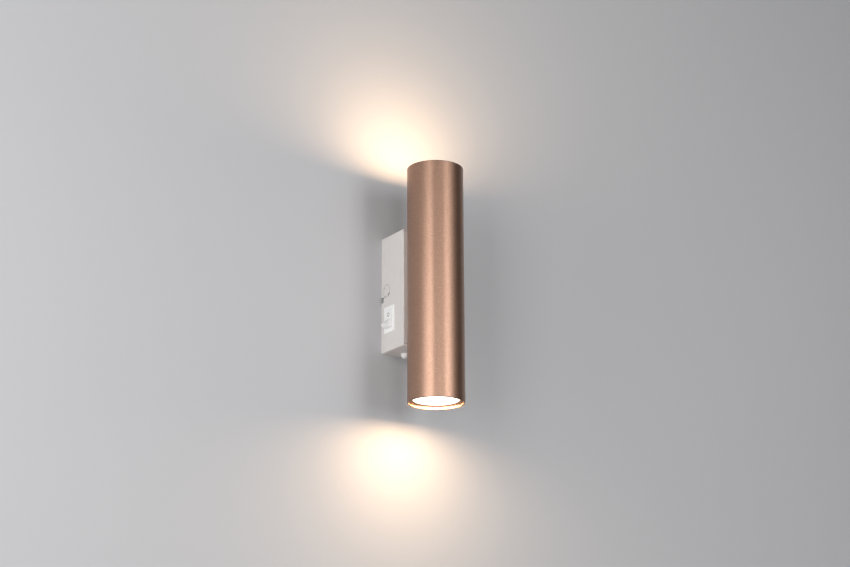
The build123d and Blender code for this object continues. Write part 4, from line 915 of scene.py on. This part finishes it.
# ---- the light's sub-assemblies
@dataclass
class WallLight:
    """The whole light: which finish each node wears, and the pieces that are added to it.

    Attributes:
        nodes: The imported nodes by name.
        tube_axis: Place of the tube's axis, across and in depth.
        tube_ends: Height of the tube's lower and upper end.
    """

    nodes: dict[str, bpy.types.Object] = field(default_factory=lambda: frame["nodes"])
    tube_axis: Pair = field(init=False)
    tube_ends: Pair = field(init=False)

    def __post_init__(self) -> None:
        """Read the tube's place from the frame."""
        low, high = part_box("tube")
        self.tube_axis = ((low.x + high.x) / 2, (low.y + high.y) / 2)
        self.tube_ends = (low.z, high.z)

    def dress(self, names: list[str], finish: Finish) -> None:
        """Give nodes one finish.

        Args:
            names: The nodes.
            finish: What they wear.
        """
        made = finish.material()
        for name in names:
            mesh = self.nodes[name].data
            mesh.materials.clear()
            mesh.materials.append(made)
            log.info("node %s wears %s", name, made.name)

    def both(self, *names: str) -> list[str]:
        """The upper and the lower node of each name."""
        return [f"{side.prefix}_{name}" for side in Side for name in names]

    def build_shell(self) -> None:
        """Tube, wall box and cap nuts."""
        lacquer = MetallicLacquer(
            "copper_lacquer", (0.43, 0.255, 0.178), 0.41, metallic=0.95, drift=0.05, patch=0.0016,
            grain=0.0011, depth=0.00003, coat=0.35, coat_roughness=0.34, rims=self.tube_ends,
        )
        self.dress(["tube"], lacquer)
        # the box's coat carries painted shade in its pressed lines and a painted shadow in its slit and
        # notch
        coat = PressedSheet(
            "box_powder_coat_painted_shade", (0.69, 0.655, 0.63), 0.55, drift=0.025, patch=0.010,
            grain=0.0008, depth=0.00003, dust=0.12, specular=0.35,
        )
        self.dress(["wall_box"], coat)
        nut = Finish("cap_nut_white", (0.90, 0.89, 0.87), 0.38, patch=0.003, dust=0.1)
        self.dress(["cap_nuts"], nut)

    def build_fixings(self) -> None:
        """Bracket, grommet, terminals, screws and nuts."""
        zinc = Finish(
            "zinc_plate", (0.60, 0.61, 0.62), 0.34, metallic=1.0, drift=0.09, patch=0.004,
            grain=0.0005, depth=0.000008,
        )
        steel = ["wall_bracket", "bracket_studs", "block_screws", "hollow_nipple", "lock_washers"]
        steel += ["nipple_nuts", "tube_screws", "lamp_bracket", "holder_screws"]
        self.dress(steel, zinc)
        brass = Finish(
            "brass", (0.74, 0.52, 0.22), 0.28, metallic=1.0, drift=0.12, patch=0.002,
            grain=0.0004, depth=0.000006,
        )
        fittings = ["terminal_clamps", "terminal_screws", "earth_tag", "earth_screw", "contact_bridge"]
        fittings += ["common_terminal", "load_terminal", "switch_receptacles"]
        self.dress(fittings + self.both("contacts", "lamp_pins"), brass)
        rubber = Finish("grommet_rubber", (0.025, 0.025, 0.026), 0.6, patch=0.002, drift=0.2)
        self.dress(["cable_grommet"], rubber)
        self.dress(["terminal_block"], Finish("block_plastic", (0.72, 0.71, 0.66), 0.42, patch=0.004))

    def build_switch(self) -> None:
        """Switch housing, rocker with its marks, plunger and spring."""
        white = Finish(
            "switch_white", (0.91, 0.905, 0.895), 0.33, drift=0.02, patch=0.004,
            grain=0.0005, depth=0.000006, coat=0.1, coat_roughness=0.25,
        )
        self.dress(["switch_housing", "switch_rocker"], white)
        self.dress(["switch_plunger"], Finish("plunger_plastic", (0.70, 0.69, 0.66), 0.4, patch=0.001))
        steel = Finish("spring_steel", (0.50, 0.51, 0.53), 0.3, metallic=1.0, patch=0.0005)
        self.dress(["switch_spring"], steel)
        RockerMarks().build()

    def build_leads(self) -> None:
        """Colours of the inner leads."""
        brown, yellow = (0.115, 0.045, 0.018), (0.72, 0.62, 0.03)
        self.dress(self.both("leads"), PairInsulation("lead_pair", brown, 0.42, patch=0.003))
        self.dress(["feed_lead"], Finish("lead_brown", brown, 0.42, patch=0.003))
        self.dress(["earth_lead"], StripedInsulation("lead_earth", yellow, 0.42, patch=0.003))

    def build_lamps(self) -> None:
        """Lampholders and lamps, with lenses that are lit."""
        ceramic = Finish(
            "holder_ceramic", (0.80, 0.77, 0.70), 0.30, patch=0.005, grain=0.0009, depth=0.00002
        )
        self.dress(self.both("lampholder"), ceramic)
        shell = Finish("lamp_shell_white", (0.78, 0.77, 0.75), 0.36, patch=0.006)
        self.dress(self.both("lamp_body"), shell)
        self.dress(self.both("driver"), Finish("driver_capsule", (0.05, 0.05, 0.055), 0.5, patch=0.004))
        self.dress(self.both("light_board"), Finish("board_mask", (0.82, 0.82, 0.80), 0.35, patch=0.004))
        ring = LitPlastic("lamp_ring_lit", (0.85, 0.84, 0.82), 0.35, axis=self.tube_axis, strength=1.1)
        self.dress(self.both("lamp_ring", "lens"), ring)
        lit = LitPlastic("lens_lit", (0.88, 0.87, 0.84), 0.30, axis=self.tube_axis).material()
        for side in Side:
            LensOptic(side).build().data.materials.append(lit)

    def build(self) -> None:
        """Build every sub-assembly in order."""
        self.build_shell()
        self.build_fixings()
        self.build_switch()
        self.build_leads()
        self.build_lamps()


# ---- studio
@dataclass(frozen=True)
class Softbox:
    """A soft upright light of the studio.

    Attributes:
        name: Its name.
        azimuth: Its place round the object, left of straight ahead is negative, in degrees.
        away: Its distance from the object.
        height: Its middle above the object.
        size: Its width and height.
        power: Its power, in watts.
        tint: Its colour.
    """

    name: str
    azimuth: float
    away: float
    height: float
    size: Pair
    power: float
    tint: Colour = (1.0, 1.0, 1.0)

    def place(self, aim: Vector) -> Vector:
        """Where it stands.

        Args:
            aim: The point that it faces.

        Returns:
            Its middle.
        """
        angle = math.radians(self.azimuth)
        flat = self.away * Vector((math.sin(angle), -math.cos(angle), 0.0))
        return aim + flat + Vector((0.0, 0.0, self.height))


@dataclass(frozen=True)
class Backdrop:
    """A large flat sheet of the studio, in matt paint that doesn't show from behind.

    Attributes:
        name: What it is.
        size: Its width and length.
        colour: Colour of its paint.
        touching: Distance within which rays from the light's own back pass it.
        near: Distance within which a share of the rays from the light's inside passes.
        near_share: That share.
        shades: The darkest and the lightest paint, as multiples of the colour.
    """

    name: str
    size: Pair
    colour: Colour
    touching: float = 0.0
    near: float = 0.0
    near_share: float = 0.18
    shades: Pair = (0.985, 1.015)

    def build(self, place: Matrix) -> None:
        """Make the sheet, marked as no part of the object.

        Args:
            place: The sheet's matrix.
        """
        shape = bmesh.new()
        bmesh.ops.create_grid(shape, x_segments=2, y_segments=2, size=0.5)
        bmesh.ops.scale(shape, vec=(*self.size, 1.0), verts=shape.verts)
        bmesh.ops.transform(shape, matrix=place, verts=shape.verts)
        name = f"studio_{self.name}"
        sheet = add_object(name, mesh_of(shape, name))
        sheet.data.materials.append(self.paint())

    def paint(self) -> bpy.types.Material:
        """Mix the sheet's paint.

        Returns:
            Its material.
        """
        made = bpy.data.materials.new(f"{self.name}_paint")
        graph = emptied(made)
        sockets = {"Vector": graph.place, "Scale": 3.0, "Detail": 2.0}
        drift = graph.add("ShaderNodeTexNoise", sockets).outputs[0]
        dark, light = (opaque(self.colour, shade) for shade in self.shades)
        shade = graph.blend(drift, dark, light)
        sockets = {"Base Color": shade, "Roughness": 0.9, "Specular IOR Level": 0.1}
        matt = graph.add("ShaderNodeBsdfPrincipled", sockets)
        clear = graph.add("ShaderNodeBsdfTransparent")
        rays = graph.add("ShaderNodeLightPath")
        contact = graph.math("LESS_THAN", rays.outputs["Ray Length"], self.touching)
        inside = graph.math("LESS_THAN", rays.outputs["Ray Length"], self.near)
        short = graph.math("MAXIMUM", contact, graph.math("MULTIPLY", inside, self.near_share))
        unseen = graph.math("SUBTRACT", 1.0, rays.outputs["Is Camera Ray"])
        passes = graph.math("MULTIPLY", short, unseen)
        backs = graph.add("ShaderNodeNewGeometry").outputs["Backfacing"]
        mask = graph.math("MAXIMUM", passes, backs)
        mixed = graph.add("ShaderNodeMixShader", {0: mask, 1: matt.outputs[0], 2: clear.outputs[0]})
        graph.add("ShaderNodeOutputMaterial", {"Surface": mixed.outputs[0]})
        return made


@dataclass
class Studio:
    """Wall, floor, soft lights and camera.

    Attributes:
        target: The point that the camera looks at.
        azimuth: The camera's place left of straight ahead, in degrees.
        elevation: How far the camera looks up, in degrees.
        distance: Camera to target.
        roll: The camera's roll, in degrees.
        lens: Focal length, in millimetres.
        sensor: Width of the camera's sensor, in millimetres.
        wall: The wall that the light hangs on, seen only from the room.
        wall_gap: Gap between the light and the wall.
        wall_middle: Height of the wall's middle.
        floor: A pale floor well below the light.
        floor_height: Height of the floor.
        lamp_colour: Colour of the light's own lamps.
        lamp_power: Power of what each of its lamps throws on the wall, in watts.
        lamp_spread: Angle over which it throws it, in degrees.
        lamp_width: Width of the lit disc at a lamp's front.
        lamp_gap: Gap between the lamp's front and that disc.
        room: Brightness of the room on the right and on the left.
        room_turn: Direction across at which the room is lightest, and at which it is darkest.
        behind: Brightness behind the wall, which only the light's back sees.
        behind_turn: Direction in depth at which that brightness starts, and at which it is full.
        unlit: Brightness that the camera sees past the wall and the floor.
        room_blue: Blue of the room's grey, as a multiple of its red.
        aim: The point that the softboxes face.
        softboxes: The studio's lights.
    """

    target: Vector = field(default_factory=lambda: Vector((-0.00447, -0.060, 0.00143)))
    azimuth: float = 33.32
    elevation: float = 17.12
    distance: float = 2.0419
    roll: float = -0.21
    lens: float = 82.0
    sensor: float = 36.0
    wall: Backdrop = Backdrop("wall", (8.0, 4.0), (0.50, 0.50, 0.512), 0.003, 0.042)
    wall_gap: float = 0.0003
    wall_middle: float = 0.65
    floor: Backdrop = Backdrop("floor", (8.0, 5.0), (0.62, 0.62, 0.62))
    floor_height: float = -1.5
    lamp_colour: Colour = (1.0, 0.66, 0.38)
    lamp_power: float = 0.37
    lamp_spread: float = 180.0
    lamp_width: float = 0.046
    lamp_gap: float = 0.0002
    room: Pair = (0.012, 0.035)
    room_turn: Pair = (-0.2, 0.9)
    behind: float = 0.45
    behind_turn: Pair = (0.05, 0.25)
    unlit: float = 0.30
    room_blue: float = 1.015
    aim: Vector = field(default_factory=lambda: Vector((0.0, -0.06, 0.0)))
    softboxes: tuple[Softbox, ...] = (
        Softbox("left_strip", -54.0, 1.5, -0.05, (0.44, 1.3), 9.6),
        Softbox("left_edge", -74.0, 1.5, -0.20, (0.35, 1.3), 6.0),
        Softbox("right_strip", 14.5, 2.0, 0.05, (0.62, 1.4), 12.3),
        Softbox("right_inner", 5.0, 2.2, 0.10, (0.40, 1.4), 4.0),
        Softbox("right_outer", 32.0, 2.2, 0.30, (0.50, 1.4), 2.5),
        Softbox("middle_fill", -20.0, 2.4, 0.05, (0.80, 1.4), 9.3),
        Softbox("low_left", -75.0, 1.7, -1.00, (0.80, 0.6), 1.6),
        Softbox("low_front", 0.0, 1.5, -1.20, (0.90, 0.5), 2.0),
    )

    def build(self) -> None:
        """Build the whole studio."""
        self.build_backdrops()
        self.build_world()
        self.build_softboxes()
        self.build_lamp_light()
        self.build_camera()

    def build_backdrops(self) -> None:
        """Set up the wall behind the light and the floor in front of it."""
        upright = Matrix.Rotation(math.radians(90), 4, "X")
        self.wall.build(Matrix.Translation((0.0, self.wall_gap, self.wall_middle)) @ upright)
        self.floor.build(Matrix.Translation((0.0, -self.floor.size[1] / 2, self.floor_height)))

    def build_world(self) -> None:
        """A dim grey room in front of the wall, light behind it, and a plain grey for the camera."""
        world = bpy.data.worlds.new("studio_room")
        bpy.context.scene.world = world
        graph = emptied(world)
        across, depth, _ = graph.axes(graph.add("ShaderNodeTexCoord").outputs["Generated"])
        share = graph.spread(across, self.room_turn, (1.0, 0.0))
        greys = (*self.room, self.behind, self.unlit)
        dark, light, back, plain = (opaque((grey, grey, grey * self.room_blue)) for grey in greys)
        front = graph.blend(share, dark, light)
        unseen = graph.blend(graph.spread(depth, self.behind_turn, (0.0, 1.0)), front, back)
        seen = graph.add("ShaderNodeLightPath").outputs["Is Camera Ray"]
        colour = graph.blend(seen, unseen, plain)
        room = graph.add("ShaderNodeBackground", {"Color": colour, "Strength": 1.0})
        graph.add("ShaderNodeOutputWorld", {"Surface": room.outputs[0]})

    def add_area(
        self, name: str, place: Vector, aim: Vector, size: Pair, power: float, colour: Colour
    ) -> bpy.types.Object:
        """Hang a soft light that the camera doesn't see.

        Args:
            name: The light's name.
            place: Where it hangs.
            aim: The point that it faces.
            size: Its width and height; a round light has the same twice.
            power: Its power, in watts.
            colour: Its colour.

        Returns:
            The light's object.
        """
        data = bpy.data.lights.new(name, "AREA")
        data.shape = "DISK" if size[0] == size[1] else "RECTANGLE"
        data.size = size[0]
        if data.shape == "RECTANGLE":
            data.size_y = size[1]
        data.energy = power
        data.color = colour
        light = add_object(name, data)
        light.location = place
        light.rotation_mode = "QUATERNION"
        light.rotation_quaternion = (aim - place).to_track_quat("-Z", "Y")
        light.visible_camera = False
        return light

    def build_softboxes(self) -> None:
        """Hang every softbox, each facing the light."""
        for box in self.softboxes:
            self.add_area(box.name, box.place(self.aim), self.aim, box.size, box.power, box.tint)

    def build_lamp_light(self) -> None:
        """What the two lamps throw on the wall."""
        low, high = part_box("tube")
        axis = (low + high) / 2
        for side in Side:
            lens_low, lens_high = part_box(f"{side.prefix}_lamp_ring")
            front = lens_high.z if side is Side.UPPER else lens_low.z
            place = Vector((axis.x, axis.y, front + side.value * self.lamp_gap))
            aim = place + Vector((0.0, 0.0, float(side.value)))
            name, size = f"{side.prefix}_lamp_light", (self.lamp_width, self.lamp_width)
            light = self.add_area(name, place, aim, size, self.lamp_power, self.lamp_colour)
            light.data.spread = math.radians(self.lamp_spread)

    def build_camera(self) -> None:
        """The camera, at the photograph's angle."""
        around, up = math.radians(self.azimuth), math.radians(self.elevation)
        ahead = Vector((math.sin(around) * math.cos(up), math.cos(around) * math.cos(up), math.sin(up)))
        right = Vector((math.cos(around), -math.sin(around), 0.0))
        over = right.cross(ahead)
        turn = math.radians(self.roll)
        side = right * math.cos(turn) + over * math.sin(turn)
        top = over * math.cos(turn) - right * math.sin(turn)
        data = bpy.data.cameras.new("camera")
        data.lens = self.lens
        data.sensor_width = self.sensor
        camera = add_object("camera", data)
        place = Matrix((side, top, -ahead)).transposed().to_4x4()
        camera.matrix_world = Matrix.Translation(self.target - self.distance * ahead) @ place
        bpy.context.scene.camera = camera


def main() -> None:
    """Dress the light, then build the studio round it."""
    logging.basicConfig(level=logging.INFO, format="%(message)s")
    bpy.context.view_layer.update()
    bpy.context.scene.view_settings.view_transform = "Standard"
    WallLight().build()
    Studio().build()


if __name__ == "__main__":
    main()
